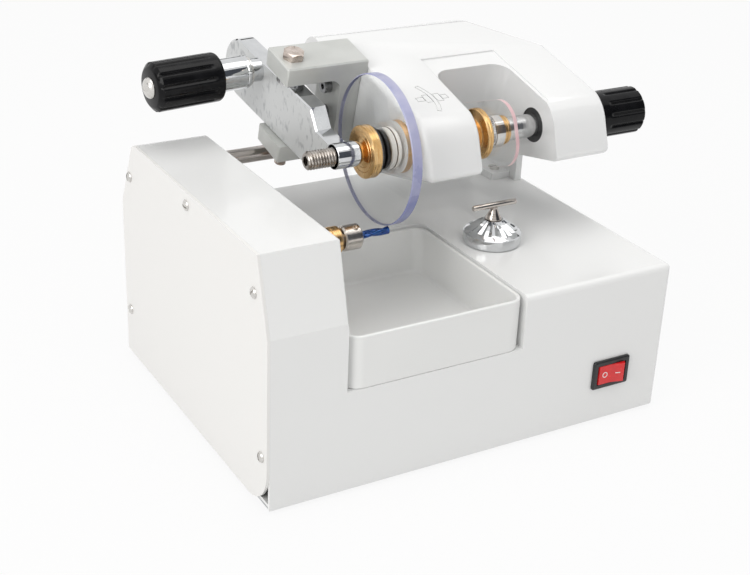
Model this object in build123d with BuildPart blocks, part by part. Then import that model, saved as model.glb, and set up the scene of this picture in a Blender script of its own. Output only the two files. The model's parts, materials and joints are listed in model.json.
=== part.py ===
from build123d import *
import math
import os

os.makedirs("parts", exist_ok=True)

# ---------------------------------------------------------------------------
# Driving dimensions, in millimetres. X runs along the front, Y to the back,
# Z up. The origin is the centre of the footprint, on the soles of the feet.
# ---------------------------------------------------------------------------

# Sheet-steel base and drive tower
base_length = 225.0
base_depth = 175.0
base_lift = 2.5            # the feet hold the shell this far off the table
deck_z = 83.0
sheet = 1.5
base_edge_radius = 3.0
tower_right = -72.5        # the tower's inner wall; the tray's well starts at it
tower_width = 40.0
tower_z = 126.5
tower_slope_z = 90.0       # where the tower's front and back lean inwards
tower_front_set_back = 10.5
tower_front_radius = 20.0
tower_rear_set_back = 17.0
tower_rear_radius = 6.0
tower_foot_radius = 12.0
tower_rim_flat = 0.3       # flat left along the tower's folded rim

# Left cover and its screws
cover_thickness = 1.5
cover_screw_shank = 3.0
cover_screw_head = 5.6
cover_screw_head_height = 1.6
cover_screw_length = 7.0
cover_tab_thickness = 1.5
cover_screw_from_front = (5.8, 13.5)
cover_screw_from_back = (12.0, 6.5)
cover_screw_height = (29.0, 107.5, 120.0, 107.0, 29.0)
cover_tab_sizes = ((8.0, 12.0), (11.0, 9.0), (14.0, 9.0), (10.0, 9.0), (9.0, 12.0))
screw_hole_clearance = 0.15
screw_slot_length = 0.75    # a slot's length and width as shares of its head's diameter
screw_slot_width = 0.15
screw_slot_depth = 0.45    # and its depth as a share of the head's height

# Chip tray and the well it slides in
well_width = 96.5
back_strip = 77.5          # deck left between the well and the back
well_floor_z = 55.0
well_sheet = 1.2
well_corner_radius = 6.0
tray_side_clearance = 0.6
tray_wall = 2.0
tray_top_z = 82.0
tray_corner_radius = 8.0

# Bottom plate, feet
bottom_thickness = 1.5
bottom_clearance = 0.3
foot_diameter = 15.0
foot_inset = 20.0
foot_stem = 5.0
foot_stem_length = 4.5
foot_barb = 1.0
bottom_screw_inset = 8.0
vent_count = 7
vent_pitch = 8.0
vent_length = 34.0
vent_width = 3.0

# Pivot rod and its right-hand support
rod_y = 62.5
rod_from_back = 25.0
rod_z = 114.3
rod_diameter = 8.0
rod_in_tower = 13.5
support_from_right = 8.2
support_thickness = 4.0
support_front_y = 40.0
support_back_y = 84.0
support_shoulder_z = 102.0
support_nose_radius = 12.0
support_nose_turn = 36.9    # where the shoulders run into the nose, in degrees above level
support_foot_length = 12.0
support_foot_front_y = 46.0
support_screw_pitch = 20.0
rod_end_stand_out = 1.0
rod_end_chamfer = 0.6
rod_block_width = 15.0
rod_block_height = 15.0
rod_block_length = 11.0

# The swinging head, drawn level in its own plane and then tipped forward
head_tilt = 13.0
head_left = -2.0
head_from_right = 5.0
centre_arm_right = 30.0
right_arm_width = 34.0
head_top = 57.4
head_rear = 11.0
head_rear_bulge = 21.0
head_bulge_height = 40.0
head_front_top = -72.0
head_front_shoulder = -84.8
head_shoulder_height = 48.0
head_front_foot = -93.8
head_foot_height = 33.1
hub_radius = 10.0
hub_from_right = 24.0
recess_rear = -32.4
recess_corner_radius = 9.0
recess_step_rear = -20.6
recess_step_width = 1.8
recess_step_depth = 0.8
chamfer_width = 26.0
chamfer_end_back = -20.6
support_sweep_radius = 30.0
ear_left = -14.5
ear_front = 4.0
ear_bottom = 28.0
pocket_roof = 8.0
pocket_wall = 6.5
centre_pocket_front = -52.0
centre_pocket_rear = -14.0
right_pocket_front = -50.0
right_pocket_rear = -36.5
beam_pocket_rear = -13.0
cut_reach = 40.0           # how far a cut runs past the casting
rod_bushing_wall = 2.0
rod_bushing_length = 16.0

# Lens axis, in the head's own plane
lens_back = -67.8
lens_height = 39.6
lens_radius = 37.0
lens_left = -20.0
lens_thickness = 5.4
lens_bevel = 0.4
shaft_diameter = 12.0
arm_bushing_wall = 2.5
arm_bushing_length = 12.0
arm_flange_radius = 13.0
arm_flange_thickness = 3.2
end_bushing_radius = 9.0
end_bushing_length = 20.0
cup_radius = 10.0
cup_thickness = 2.5
holder_radius = 10.4
holder_length = 5.6
holder_socket = 3.0
disc_radius = 13.0
disc_thickness = 3.5
disc_hub_radius = 8.0
disc_left = 34.0
disc_hub_length = 4.0
pattern_thickness = 2.0
pattern_width = 58.0
pattern_height = 33.0
pattern_corner_radius = 13.0
pattern_tilt = 20.0
pattern_shift = 2.0
nut_radius = 8.4
nut_length = 9.6
nut_knurls = 24
nut_knurl_radius = 0.4
nut_ring_radius = 7.4
nut_ring_length = 3.6
knob_radius = 12.4
knob_length = 31.0
turning_knob_gap = 1.0
knob_flutes = 12
knob_flute_radius = 1.3
knob_edge_radius = 1.5
knob_socket = 14.0
turning_knob_band = 7.5     # smooth band at the knob's inner end

# Left clamp: bracket, lever and knob, in the head's own plane
bolt_x = -39.5
bolt_back = -12.1
bracket_left = -47.3
bracket_front = -23.0
bracket_rear = 1.0
bracket_top = 62.3
bracket_height = 53.9
bracket_plate = 9.5
bracket_leg = 14.5
bracket_fillet = 6.0
bracket_screw_diameter = 4.0
bracket_screw_head = 7.0
bracket_screw_length = 20.0
bracket_screw_flats = 3.0
bracket_screw_back = -12.0
bracket_screw_heights = (43.5, 28.5)
bolt_diameter = 6.0
bolt_head_flats = 10.0
bolt_head_height = 4.0
bolt_stand_out = 4.0
lever_skew = 4.5           # the lever's rear end is pushed outwards
lever_thickness = 8.6
lever_top = 49.6
lever_bottom = 18.1
lever_rear = 42.0
lever_neck_top = 41.0
lever_step_start = -26.8
lever_step_end = -34.5
lever_toe = -25.5
lever_toe_front = -31.0
lever_toe_height = 22.0
lever_neck_bottom = 34.6
spacer_radius = 7.0
boss_radius = 6.2
boss_left = -42.5
boss_length = 12.0
pad_screw_radius = 4.6
pad_screw_left = -57.0
pad_screw_right = -29.6
socket_flats = 4.5
socket_depth = 5.0
pad_pin_radius = 2.5
pad_pin_length = 5.0
pad_neck_radius = 4.4
pad_disc_thickness = 4.6
facing_radius = 12.0
facing_thickness = 2.0
facing_teeth = 36
facing_notch_radius = 0.4
lens_gap = 0.25
clamp_back = 24.0
clamp_height = 43.6
clamp_boss_radius = 6.0
clamp_boss_length = 6.0
washer_radius = 7.6
washer_thickness = 1.4
sleeve_radius = 8.4
sleeve_length = 17.0
clamp_knob_length = 36.0
clamp_knob_socket = 20.0
clamp_knob_band = 5.5
stud_radius = 4.0
stud_end_gap = 0.3
stud_tip_radius = 2.5
dome_radius = 5.4
dome_height = 3.2
dome_edge = 0.6             # straight rim under the rounded head
dome_shank = 2.5
dome_shank_length = 8.0

# Cutter spindle and its belt drive, inside the tower
spindle_y = -25.5
spindle_z = 100.5
spindle_radius = 3.0
cutter_radius = 2.0
cutter_reach = 2.0         # the cutter's end lies this far past the lens's outer face
cutter_flutes = 3
flute_radius = 0.7
collar_radius = 6.3
collar_gap = 1.5
collar_length = 9.5
collar_cutter_bore = 4.0
flute_gap = 1.0            # plain shank between the collar and the flutes
nose_steps = ((11.0, 9.0), (8.5, 8.0), (6.8, 10.0))
edge_break = 0.7
nose_spigot_radius = 9.0
nose_bore_clearance = 0.8
bearing_radius = 9.5
bearing_width = 6.0
spindle_housing_radius = 13.5
spindle_housing_length = 20.0
spindle_flange_radius = 19.0
spindle_flange_thickness = 3.0
pulley_gap = 0.5
pulley_width = 10.0
pulley_flange = 1.4
pulley_flange_height = 2.0
pulley_shaft_end = 1.0      # shaft left standing out of a pulley
spindle_pulley_radius = 7.0
motor_pulley_radius = 14.0
belt_thickness = 1.5
belt_width = 6.4
belt_gap = 0.3
motor_from_well = 6.3
motor_z = 44.5
motor_radius = 25.0
motor_length = 70.0
motor_from_tower = 4.0
motor_boss_radius = 8.0
motor_boss_length = 3.0
motor_shaft_radius = 2.5
motor_end_radius = 3.0
motor_plate_thickness = 3.0
motor_plate_width = 56.0
motor_plate_foot = 18.0
motor_screw_circle = 16.0
motor_screw_diameter = 4.0
motor_screw_head_height = 2.4
motor_screw_grip = 4.0

# Follower that the pattern rests on
follower_x = 44.5
follower_y = -25.5
dial_radius = 15.0
dial_rim_height = 6.0
dial_cone_height = 6.5
dial_cone_top_radius = 5.0
dial_flutes = 20
dial_flute_radius = 0.6
dial_edge = 0.5
stem_radius = 1.6
stem_cone_radius = 4.3
stem_cone_height = 6.0
bar_radius = 1.5
bar_length = 26.0
guide_radius = 6.0
guide_length = 14.0
guide_flange_radius = 9.0
guide_flange_thickness = 2.0

# Rocker switch
switch_from_right = 32.7
switch_z = 29.1
bezel_width = 22.4
bezel_height = 15.8
bezel_stand_out = 1.8
switch_body_width = 19.0
switch_body_height = 12.8
switch_body_depth = 14.0
bezel_corner = 1.2
bezel_edge = 0.6
rocker_swing_radius = 8.6  # the rocker's sides are arcs about its pivot
rocker_height = 10.4
rocker_pivot_depth = 2.0
rocker_proud = 1.6
rocker_dip = 0.9
rocker_root = 3.0
rocker_tilt = 7.0
rocker_pocket = 5.0
rocker_pin_radius = 1.0
rocker_pin_length = 0.8

# Power inlet at the back
inlet_from_right = 42.5
inlet_z = 31.0
inlet_width = 31.0
inlet_height = 25.0
inlet_face = 2.0
inlet_body_width = 27.0
inlet_body_height = 20.0
inlet_body_depth = 20.0
inlet_socket_width = 23.0
inlet_socket_height = 15.0
inlet_socket_depth = 15.0
pin_width = 2.0
pin_height = 4.0
pin_length = 12.0
pin_pitch = 7.0

# Control board and wiring
board_x = 20.0
board_y = -40.0
board_length = 70.0
board_width = 45.0
board_thickness = 1.6
board_post_height = 8.0
board_post_radius = 3.0
board_post_inset = 5.0
terminal_length = 40.0
terminal_width = 9.0
terminal_height = 10.0
relay_size = 16.0
relay_height = 14.0
wire_radius = 1.2
wire_terminal_x = (12.0, 28.0)
wire_lead = 17.0           # straight run of a wire out of what it leaves
wire_arc_share = 0.45      # how much of a run each bend may take
inlet_wire_bend = (50.0, 24.0, 23.0)
motor_wire_bend = (21.0, 22.0, 24.0)
motor_wire_z = 30.0

# Fits
running_fit = 0.05
seat_gap = 0.1

# Reach within which a selector takes an edge or a face as lying at a size
close_by = 0.01
nearby = 1.0

# Places of the shell and of what follows its sides
left_x = tower_right - tower_width
right_x = left_x + base_length
back_y = rod_y + rod_from_back
front_y = back_y - base_depth
middle_x = (left_x + right_x) / 2
middle_y = (front_y + back_y) / 2
tray_left = tower_right
well_depth = base_depth - back_strip
rod_left = tower_right - rod_in_tower
support_left = right_x - support_from_right
head_right = right_x - head_from_right
right_arm_left = head_right - right_arm_width
hub_right = head_right - hub_from_right
recess_step_right = right_arm_left + recess_step_width
chamfer_start_x = head_right - chamfer_width
switch_x = right_x - switch_from_right
inlet_x = right_x - inlet_from_right
well_right = tray_left + well_width
well_back_y = front_y + well_depth
motor_left = tower_right + motor_from_tower
motor_y = well_back_y + well_sheet + motor_from_well + motor_radius


def save(piece, name):
    """Label a finished piece and write it under its own name."""
    piece.part.label = name
    export_step(piece.part, f"parts/{name}.step")


def head_plane(x):
    """Upright plane of the head: local x to the rear, local y up, normal +X."""
    tilt = math.radians(head_tilt)
    return Plane(origin=(x, rod_y, rod_z), x_dir=(0, math.cos(tilt), math.sin(tilt)), z_dir=(1, 0, 0))


def head_top_plane(height):
    """Plan plane of the head: local x along +X, local y to the rear."""
    tilt = math.radians(head_tilt)
    up = (0, -math.sin(tilt), math.cos(tilt))
    origin = (0, rod_y + up[1] * height, rod_z + up[2] * height)
    return Plane(origin=origin, x_dir=(1, 0, 0), z_dir=up)


def head_point(x, back, height):
    """A point given in the head's own plane, in model coordinates."""
    tilt = math.radians(head_tilt)
    y = rod_y + back * math.cos(tilt) - height * math.sin(tilt)
    z = rod_z + back * math.sin(tilt) + height * math.cos(tilt)
    return (x, y, z)


def lever_plane(offset):
    """Plane of the lever, turned by its skew about the bolt; local x from the bolt to the rear."""
    tilt = math.radians(head_tilt)
    skew = math.radians(lever_skew)
    along = (-math.sin(skew), math.cos(skew) * math.cos(tilt), math.cos(skew) * math.sin(tilt))
    normal = (math.cos(skew), math.sin(skew) * math.cos(tilt), math.sin(skew) * math.sin(tilt))
    bolt = head_point(bolt_x, bolt_back, 0)
    origin = tuple(b + n * offset for b, n in zip(bolt, normal))
    return Plane(origin=origin, x_dir=along, z_dir=normal)


def across(x, y, z):
    """Plane square to the X axis at a point: local x along +Y, local y up."""
    return Plane(origin=(x, y, z), x_dir=(0, 1, 0), z_dir=(1, 0, 0))


lens_y, lens_z = head_point(0, lens_back, lens_height)[1:]
lens_right = lens_left + lens_thickness
cup_right = lens_right + cup_thickness
holder_right = cup_right + holder_length
shaft_left = holder_right - holder_socket
disc_right = disc_left + disc_hub_length + disc_thickness
pattern_right = disc_right + pattern_thickness
nut_right = pattern_right + nut_length
nut_ring_right = nut_right + nut_ring_length
bracket_bottom = bracket_top - bracket_height
bracket_leg_left = head_left - bracket_leg
lever_radius = (lever_top - lever_bottom) / 2


def head_front_plane(back):
    """Plane facing forwards along the head: local x along +X, local y up."""
    tilt = math.radians(head_tilt)
    return Plane(origin=head_point(0, back, 0), x_dir=(1, 0, 0),
                 z_dir=(0, -math.cos(tilt), -math.sin(tilt)))


def pan_screw(plane, head_radius, head_height, shank_radius, shank_length):
    """Slotted pan head on a plane that faces outwards, with its shank behind."""
    with BuildSketch(plane) as head:
        Circle(head_radius)
    extrude(head.sketch, amount=head_height)
    with BuildSketch(plane) as shank:
        Circle(shank_radius)
    extrude(shank.sketch, amount=-shank_length)
    with BuildSketch(plane.offset(head_height)) as slot_cut:
        Rectangle(2 * head_radius * screw_slot_length, 2 * head_radius * screw_slot_width)
    extrude(slot_cut.sketch, amount=-head_height * screw_slot_depth, mode=Mode.SUBTRACT)


def tube(plane, outer, inner, length, mode=Mode.ADD):
    """Plain tube that stands on a plane."""
    with BuildSketch(plane) as ring:
        Circle(outer)
        Circle(inner, mode=Mode.SUBTRACT)
    extrude(ring.sketch, amount=length, mode=mode)


def bar(plane, radius, length, mode=Mode.ADD):
    """Plain round bar that stands on a plane, or the hole for one."""
    with BuildSketch(plane) as disc:
        Circle(radius)
    extrude(disc.sketch, amount=length, mode=mode)


# ---------------------------------------------------------------------------
# Steel shell and what is fastened to it
# ---------------------------------------------------------------------------

cover_inner = left_x + cover_thickness
cover_screw_y = (
    *(front_y + d for d in cover_screw_from_front), middle_y, *(back_y - d for d in cover_screw_from_back))
cover_screw_places = list(zip(cover_screw_y, cover_screw_height))
wall_inner_x = tower_right - sheet
tab_z = base_lift + bottom_thickness
corner_places = [
    (middle_x + sx * (base_length / 2 - bottom_screw_inset),
     middle_y + sy * (base_depth / 2 - bottom_screw_inset))
    for sx in (-1, 1) for sy in (-1, 1)]
corner_tab = 2 * (bottom_screw_inset - cover_thickness)
support_right = support_left + support_thickness
support_foot_places = [
    (support_left - support_foot_length / 2, rod_y + dy)
    for dy in (-support_screw_pitch / 2, support_screw_pitch / 2)]
screw_hole = cover_screw_shank / 2 + screw_hole_clearance

# Side outline of the drive tower, shared by the shell and the left cover
with BuildSketch(across(0, 0, 0)) as tower_profile:
    with BuildLine():
        Polyline(
            (front_y, base_lift), (front_y, tower_slope_z), (front_y + tower_front_set_back, tower_z),
            (back_y - tower_rear_set_back, tower_z), (back_y, tower_slope_z), (back_y, base_lift),
            close=True)
    make_face()
    corners = tower_profile.vertices().filter_by(lambda v: v.Z > base_lift + nearby)
    fillet(corners.filter_by(lambda v: v.Z < tower_z - nearby), tower_foot_radius)
    top_corners = tower_profile.vertices().group_by(Axis.Z)[-1].sort_by(Axis.Y)
    fillet(top_corners[0], tower_front_radius)
    top_corners = tower_profile.vertices().group_by(Axis.Z)[-1].sort_by(Axis.Y)
    fillet(top_corners[-1], tower_rear_radius)

# Housing: folded sheet-steel shell with the drive tower on its left
with BuildPart() as housing:
    with BuildSketch(Plane.XY.offset(base_lift)):
        with Locations(((cover_inner + right_x) / 2, middle_y)):
            Rectangle(base_length - cover_thickness, base_depth)
    extrude(amount=deck_z - base_lift)
    fillet(housing.edges().filter_by(Axis.Z).group_by(Axis.X)[-1], base_edge_radius)
    rim = housing.faces().sort_by(Axis.Z)[-1].edges()
    fillet(rim.filter_by(lambda e: e.center().X > left_x + sheet + nearby), base_edge_radius)
    with BuildSketch(across(cover_inner, 0, 0)):
        add(tower_profile.sketch_local)
    extrude(amount=tower_width - cover_thickness)
    tower_rim = housing.edges().filter_by(
        lambda e: abs(e.center().X - tower_right) < close_by and e.center().Z > tower_slope_z + nearby)
    fillet(tower_rim, sheet - tower_rim_flat)
    with BuildSketch(Plane.XY.offset(base_lift)):
        with Locations(((left_x + right_x - sheet) / 2, middle_y)):
            Rectangle(base_length - sheet, base_depth - 2 * sheet)
    extrude(amount=deck_z - sheet - base_lift, mode=Mode.SUBTRACT)
    with BuildSketch(across(left_x, 0, 0)):
        add(tower_profile.sketch_local)
        offset(amount=-sheet, kind=Kind.INTERSECTION, mode=Mode.REPLACE)
    extrude(amount=tower_width - sheet, mode=Mode.SUBTRACT)
    # slot for the chip tray, open to the front and the top
    with BuildSketch(Plane.XY.offset(well_floor_z)) as slot:
        with Locations((tray_left + well_width / 2, front_y + well_depth / 2)):
            Rectangle(well_width, well_depth)
        fillet(slot.vertices().group_by(Axis.Y)[-1].sort_by(Axis.X)[-1], well_corner_radius)
    extrude(amount=deck_z, mode=Mode.SUBTRACT)
    # holes for the spindle nose, the pivot rod, the follower, the switch and the inlet
    bar(across(wall_inner_x, spindle_y, spindle_z), nose_spigot_radius + seat_gap, sheet, Mode.SUBTRACT)
    bar(across(wall_inner_x, rod_y, rod_z), rod_diameter / 2 + seat_gap, sheet, Mode.SUBTRACT)
    deck_hole = Plane(origin=(follower_x, follower_y, deck_z - sheet), x_dir=(1, 0, 0), z_dir=(0, 0, 1))
    bar(deck_hole, guide_radius + seat_gap, sheet, Mode.SUBTRACT)
    for x, y in support_foot_places:
        screw_place = Plane(origin=(x, y, deck_z - sheet), x_dir=(1, 0, 0), z_dir=(0, 0, 1))
        bar(screw_place, screw_hole, sheet, Mode.SUBTRACT)
    with BuildSketch(Plane.XZ.offset(-front_y - sheet)):
        with Locations((switch_x, switch_z)):
            Rectangle(switch_body_width + 2 * seat_gap, switch_body_height + 2 * seat_gap)
    extrude(amount=sheet, mode=Mode.SUBTRACT)
    with BuildSketch(Plane.XZ.offset(-back_y)):
        with Locations((inlet_x, inlet_z)):
            Rectangle(inlet_body_width + 2 * seat_gap, inlet_body_height + 2 * seat_gap)
    extrude(amount=sheet, mode=Mode.SUBTRACT)
    # folded tabs that the left cover is screwed to
    for (y, z), (half_y, half_z) in zip(cover_screw_places, cover_tab_sizes):
        with BuildSketch(across(cover_inner, 0, 0)):
            with Locations((y, z)):
                Rectangle(2 * half_y, 2 * half_z)
            add(tower_profile.sketch_local, mode=Mode.INTERSECT)
        extrude(amount=cover_tab_thickness)
        bar(across(cover_inner, y, z), screw_hole,
            cover_tab_thickness, Mode.SUBTRACT)
    # folded corner tabs that the bottom plate is screwed to
    for x, y in corner_places:
        with BuildSketch(Plane.XY.offset(tab_z)):
            with Locations((x, y)):
                Rectangle(corner_tab, corner_tab)
                Circle(screw_hole, mode=Mode.SUBTRACT)
        extrude(amount=sheet)
save(housing, "housing")

# Left cover: flat sheet that closes the drive side
with BuildPart() as left_cover:
    with BuildSketch(across(left_x, 0, 0)):
        add(tower_profile.sketch_local)
        with Locations(*cover_screw_places):
            Circle(screw_hole, mode=Mode.SUBTRACT)
    extrude(amount=cover_thickness)
save(left_cover, "left_cover")


def cover_screw(plane):
    """The sheet-metal screw used all over the shell."""
    pan_screw(plane, cover_screw_head / 2, cover_screw_head_height, cover_screw_shank / 2, cover_screw_length)


# Cover screws: slotted pan heads
with BuildPart() as cover_screws:
    for y, z in cover_screw_places:
        outwards = Plane(origin=(left_x, y, z), x_dir=(0, -1, 0), z_dir=(-1, 0, 0))
        cover_screw(outwards)
save(cover_screws, "cover_screws")

# Tray well: folded lining of the slot, with a floor and three walls
well_top_z = deck_z - sheet
with BuildPart() as tray_well:
    with BuildSketch(Plane.XY.offset(well_floor_z - well_sheet)) as well_outer:
        with Locations((tray_left + well_width / 2, front_y + sheet + (well_depth - sheet + well_sheet) / 2)):
            Rectangle(well_width + 2 * well_sheet, well_depth - sheet + well_sheet)
        fillet(well_outer.vertices().group_by(Axis.Y)[-1], well_corner_radius + well_sheet)
    extrude(amount=well_top_z - well_floor_z + well_sheet)
    with BuildSketch(Plane.XY.offset(well_floor_z)) as well_inner:
        with Locations((tray_left + well_width / 2, front_y + well_depth / 2)):
            Rectangle(well_width, well_depth)
        fillet(well_inner.vertices().group_by(Axis.Y)[-1], well_corner_radius)
    extrude(amount=deck_z, mode=Mode.SUBTRACT)
save(tray_well, "tray_well")

# Chip tray: moulded box that slides out to the front
tray_width = well_width - 2 * tray_side_clearance
tray_depth = well_depth - tray_side_clearance
tray_x = tray_left + well_width / 2
tray_y = front_y + tray_depth / 2
with BuildPart() as chip_tray:
    with BuildSketch(Plane.XY.offset(well_floor_z)) as tray_outer:
        with Locations((tray_x, tray_y)):
            Rectangle(tray_width, tray_depth)
        fillet(tray_outer.vertices(), tray_corner_radius)
    extrude(amount=tray_top_z - well_floor_z)
    with BuildSketch(Plane.XY.offset(well_floor_z + tray_wall)) as tray_inner:
        with Locations((tray_x, tray_y)):
            Rectangle(tray_width - 2 * tray_wall, tray_depth - 2 * tray_wall)
        fillet(tray_inner.vertices(), tray_corner_radius - tray_wall)
    extrude(amount=deck_z, mode=Mode.SUBTRACT)
    inner_floor = chip_tray.faces().filter_by(Axis.Z).filter_by_position(
        Axis.Z, well_floor_z + tray_wall - close_by, well_floor_z + tray_wall + close_by)
    fillet(inner_floor.edges(), tray_wall)
save(chip_tray, "chip_tray")

# Bottom plate: closes the shell and carries the motor, the feet and, on pressed posts, the board
plate_floor_z = base_lift + bottom_thickness
board_post_places = [
    (board_x + sx * (board_length / 2 - board_post_inset),
     board_y + sy * (board_width / 2 - board_post_inset))
    for sx in (-1, 1) for sy in (-1, 1)]
foot_places = [
    (middle_x + sx * (base_length / 2 - foot_inset), middle_y + sy * (base_depth / 2 - foot_inset))
    for sx in (-1, 1) for sy in (-1, 1)]
plate_left = cover_inner + bottom_clearance
plate_right = right_x - sheet - bottom_clearance
with BuildPart() as bottom_plate:
    with BuildSketch(Plane.XY.offset(base_lift)):
        with Locations(((plate_left + plate_right) / 2, middle_y)):
            Rectangle(plate_right - plate_left, base_depth - 2 * (sheet + bottom_clearance))
        with Locations(*corner_places):
            Circle(screw_hole, mode=Mode.SUBTRACT)
        with Locations(*foot_places):
            Circle(foot_stem / 2 + seat_gap, mode=Mode.SUBTRACT)
        with Locations((motor_left + motor_length / 2, motor_y)):
            with GridLocations(vent_pitch, 0, vent_count, 1):
                SlotOverall(vent_length, vent_width, rotation=90, mode=Mode.SUBTRACT)
    extrude(amount=bottom_thickness)
    with BuildSketch(Plane.XY.offset(plate_floor_z)):
        with Locations(*board_post_places):
            Circle(board_post_radius)
    extrude(amount=board_post_height)
save(bottom_plate, "bottom_plate")

# Feet: moulded rubber with a waisted stem pushed through the bottom plate
with BuildPart() as feet:
    for x, y in foot_places:
        with BuildSketch(Plane.XY):
            with Locations((x, y)):
                Circle(foot_diameter / 2)
        extrude(amount=base_lift)
        with BuildSketch(Plane.XY.offset(base_lift)):
            with Locations((x, y)):
                Circle(foot_stem / 2)
        extrude(amount=foot_stem_length)
        with BuildSketch(Plane.XY.offset(base_lift + bottom_thickness)):
            with Locations((x, y)):
                Circle(foot_stem / 2 + foot_barb)
        extrude(amount=foot_stem_length - bottom_thickness - foot_barb)
save(feet, "feet")

# Rod support: painted steel plate on the deck, with a foot behind the head
nose_turn = math.radians(support_nose_turn)
nose_y = support_nose_radius * math.cos(nose_turn)
nose_z = rod_z + support_nose_radius * math.sin(nose_turn)
with BuildPart() as rod_support:
    with BuildSketch(across(support_left, 0, 0)) as support_outline:
        with BuildLine():
            Polyline(
                (support_front_y, deck_z), (support_front_y, support_shoulder_z),
                (rod_y - nose_y, nose_z), (rod_y + nose_y, nose_z),
                (support_back_y, support_shoulder_z), (support_back_y, deck_z), close=True)
        make_face()
        with Locations((rod_y, rod_z)):
            Circle(support_nose_radius)
            Circle(rod_diameter / 2 + seat_gap, mode=Mode.SUBTRACT)
    extrude(amount=support_thickness)
    with BuildSketch(Plane.XY.offset(deck_z)):
        with Locations((support_left - support_foot_length / 2, rod_y)):
            Rectangle(support_foot_length, 2 * (rod_y - support_foot_front_y))
        with Locations(*support_foot_places):
            Circle(screw_hole, mode=Mode.SUBTRACT)
    extrude(amount=support_thickness)
save(rod_support, "rod_support")

# Base screws: four hold the bottom plate and two hold the rod support
with BuildPart() as base_screws:
    for x, y in corner_places:
        cover_screw(Plane(origin=(x, y, base_lift), x_dir=(1, 0, 0), z_dir=(0, 0, -1)))
    for x, y in support_foot_places:
        cover_screw(Plane(origin=(x, y, deck_z + support_thickness), x_dir=(1, 0, 0), z_dir=(0, 0, 1)))
save(base_screws, "base_screws")

# Pivot rod: ground steel bar from the tower's block to the support plate
with BuildPart() as pivot_rod:
    bar(across(rod_left, rod_y, rod_z), rod_diameter / 2, support_right + rod_end_stand_out - rod_left)
    chamfer(pivot_rod.edges().filter_by(GeomType.CIRCLE), rod_end_chamfer)
save(pivot_rod, "pivot_rod")

# Rod block: split aluminium block on the tower wall that grips the rod's left end
with BuildPart() as rod_block:
    with BuildSketch(across(wall_inner_x - rod_block_length, rod_y, rod_z)):
        Rectangle(rod_block_width, rod_block_height)
        Circle(rod_diameter / 2 + running_fit, mode=Mode.SUBTRACT)
        with Locations((0, -rod_block_height / 2)):
            Rectangle(sheet, rod_block_height - rod_diameter, mode=Mode.SUBTRACT)
    extrude(amount=rod_block_length)
save(rod_block, "rod_block")

# ---------------------------------------------------------------------------
# Cutter spindle and belt drive
# ---------------------------------------------------------------------------

housing_left = wall_inner_x - spindle_housing_length
pulley_left = housing_left - pulley_gap - pulley_width
collar_left = tower_right + sum(length for _, length in nose_steps) + collar_gap
cutter_right = lens_left + cutter_reach
shaft_right = collar_left + collar_length - collar_cutter_bore

# Spindle housing: turned aluminium barrel, flanged to the inside of the tower wall
with BuildPart() as spindle_housing:
    bar(across(housing_left, spindle_y, spindle_z), spindle_housing_radius, spindle_housing_length)
    bar(across(wall_inner_x - spindle_flange_thickness, spindle_y, spindle_z),
        spindle_flange_radius, spindle_flange_thickness)
    bar(across(housing_left, spindle_y, spindle_z), spindle_radius + nose_bore_clearance,
        spindle_housing_length, Mode.SUBTRACT)
    for seat_x in (housing_left, wall_inner_x - bearing_width):
        bar(across(seat_x, spindle_y, spindle_z), bearing_radius + running_fit, bearing_width, Mode.SUBTRACT)
save(spindle_housing, "spindle_housing")

# Spindle bearings: two sealed ball bearings
with BuildPart() as spindle_bearings:
    for seat_x in (housing_left, wall_inner_x - bearing_width):
        tube(across(seat_x, spindle_y, spindle_z), bearing_radius, spindle_radius + running_fit,
             bearing_width)
save(spindle_bearings, "spindle_bearings")

# Spindle nose: stepped brass nut that closes the barrel outside the tower
with BuildPart() as spindle_nose:
    bar(across(wall_inner_x, spindle_y, spindle_z), nose_spigot_radius, sheet)
    nose_x = tower_right
    for radius, length in nose_steps:
        bar(across(nose_x, spindle_y, spindle_z), radius, length)
        nose_x += length
        chamfer(spindle_nose.faces().sort_by(Axis.X)[-1].edges(), edge_break)
    bar(across(wall_inner_x, spindle_y, spindle_z), spindle_radius + nose_bore_clearance,
        nose_x - wall_inner_x, Mode.SUBTRACT)
save(spindle_nose, "spindle_nose")

# Spindle shaft: ground steel, from the pulley to the cutter collar
with BuildPart() as spindle_shaft:
    bar(across(pulley_left - pulley_shaft_end, spindle_y, spindle_z), spindle_radius,
        shaft_right - pulley_left + pulley_shaft_end)
save(spindle_shaft, "spindle_shaft")


def belt_pulley(y, z, radius, bore):
    """Flat-groove pulley with two side flanges and a bore."""
    outer = radius + pulley_flange_height
    with BuildSketch(Plane.XY.offset(z)) as section:
        with BuildLine():
            Polyline(
                (pulley_left, y), (pulley_left, y + outer), (pulley_left + pulley_flange, y + outer),
                (pulley_left + pulley_flange, y + radius),
                (pulley_left + pulley_width - pulley_flange, y + radius),
                (pulley_left + pulley_width - pulley_flange, y + outer),
                (pulley_left + pulley_width, y + outer), (pulley_left + pulley_width, y), close=True)
        make_face()
    revolve(section.sketch, axis=Axis((0, y, z), (1, 0, 0)))
    bar(across(pulley_left, y, z), bore, pulley_width, Mode.SUBTRACT)


with BuildPart() as spindle_pulley:
    belt_pulley(spindle_y, spindle_z, spindle_pulley_radius, spindle_radius)
save(spindle_pulley, "spindle_pulley")

with BuildPart() as motor_pulley:
    belt_pulley(motor_y, motor_z, motor_pulley_radius, motor_shaft_radius)
save(motor_pulley, "motor_pulley")

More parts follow.
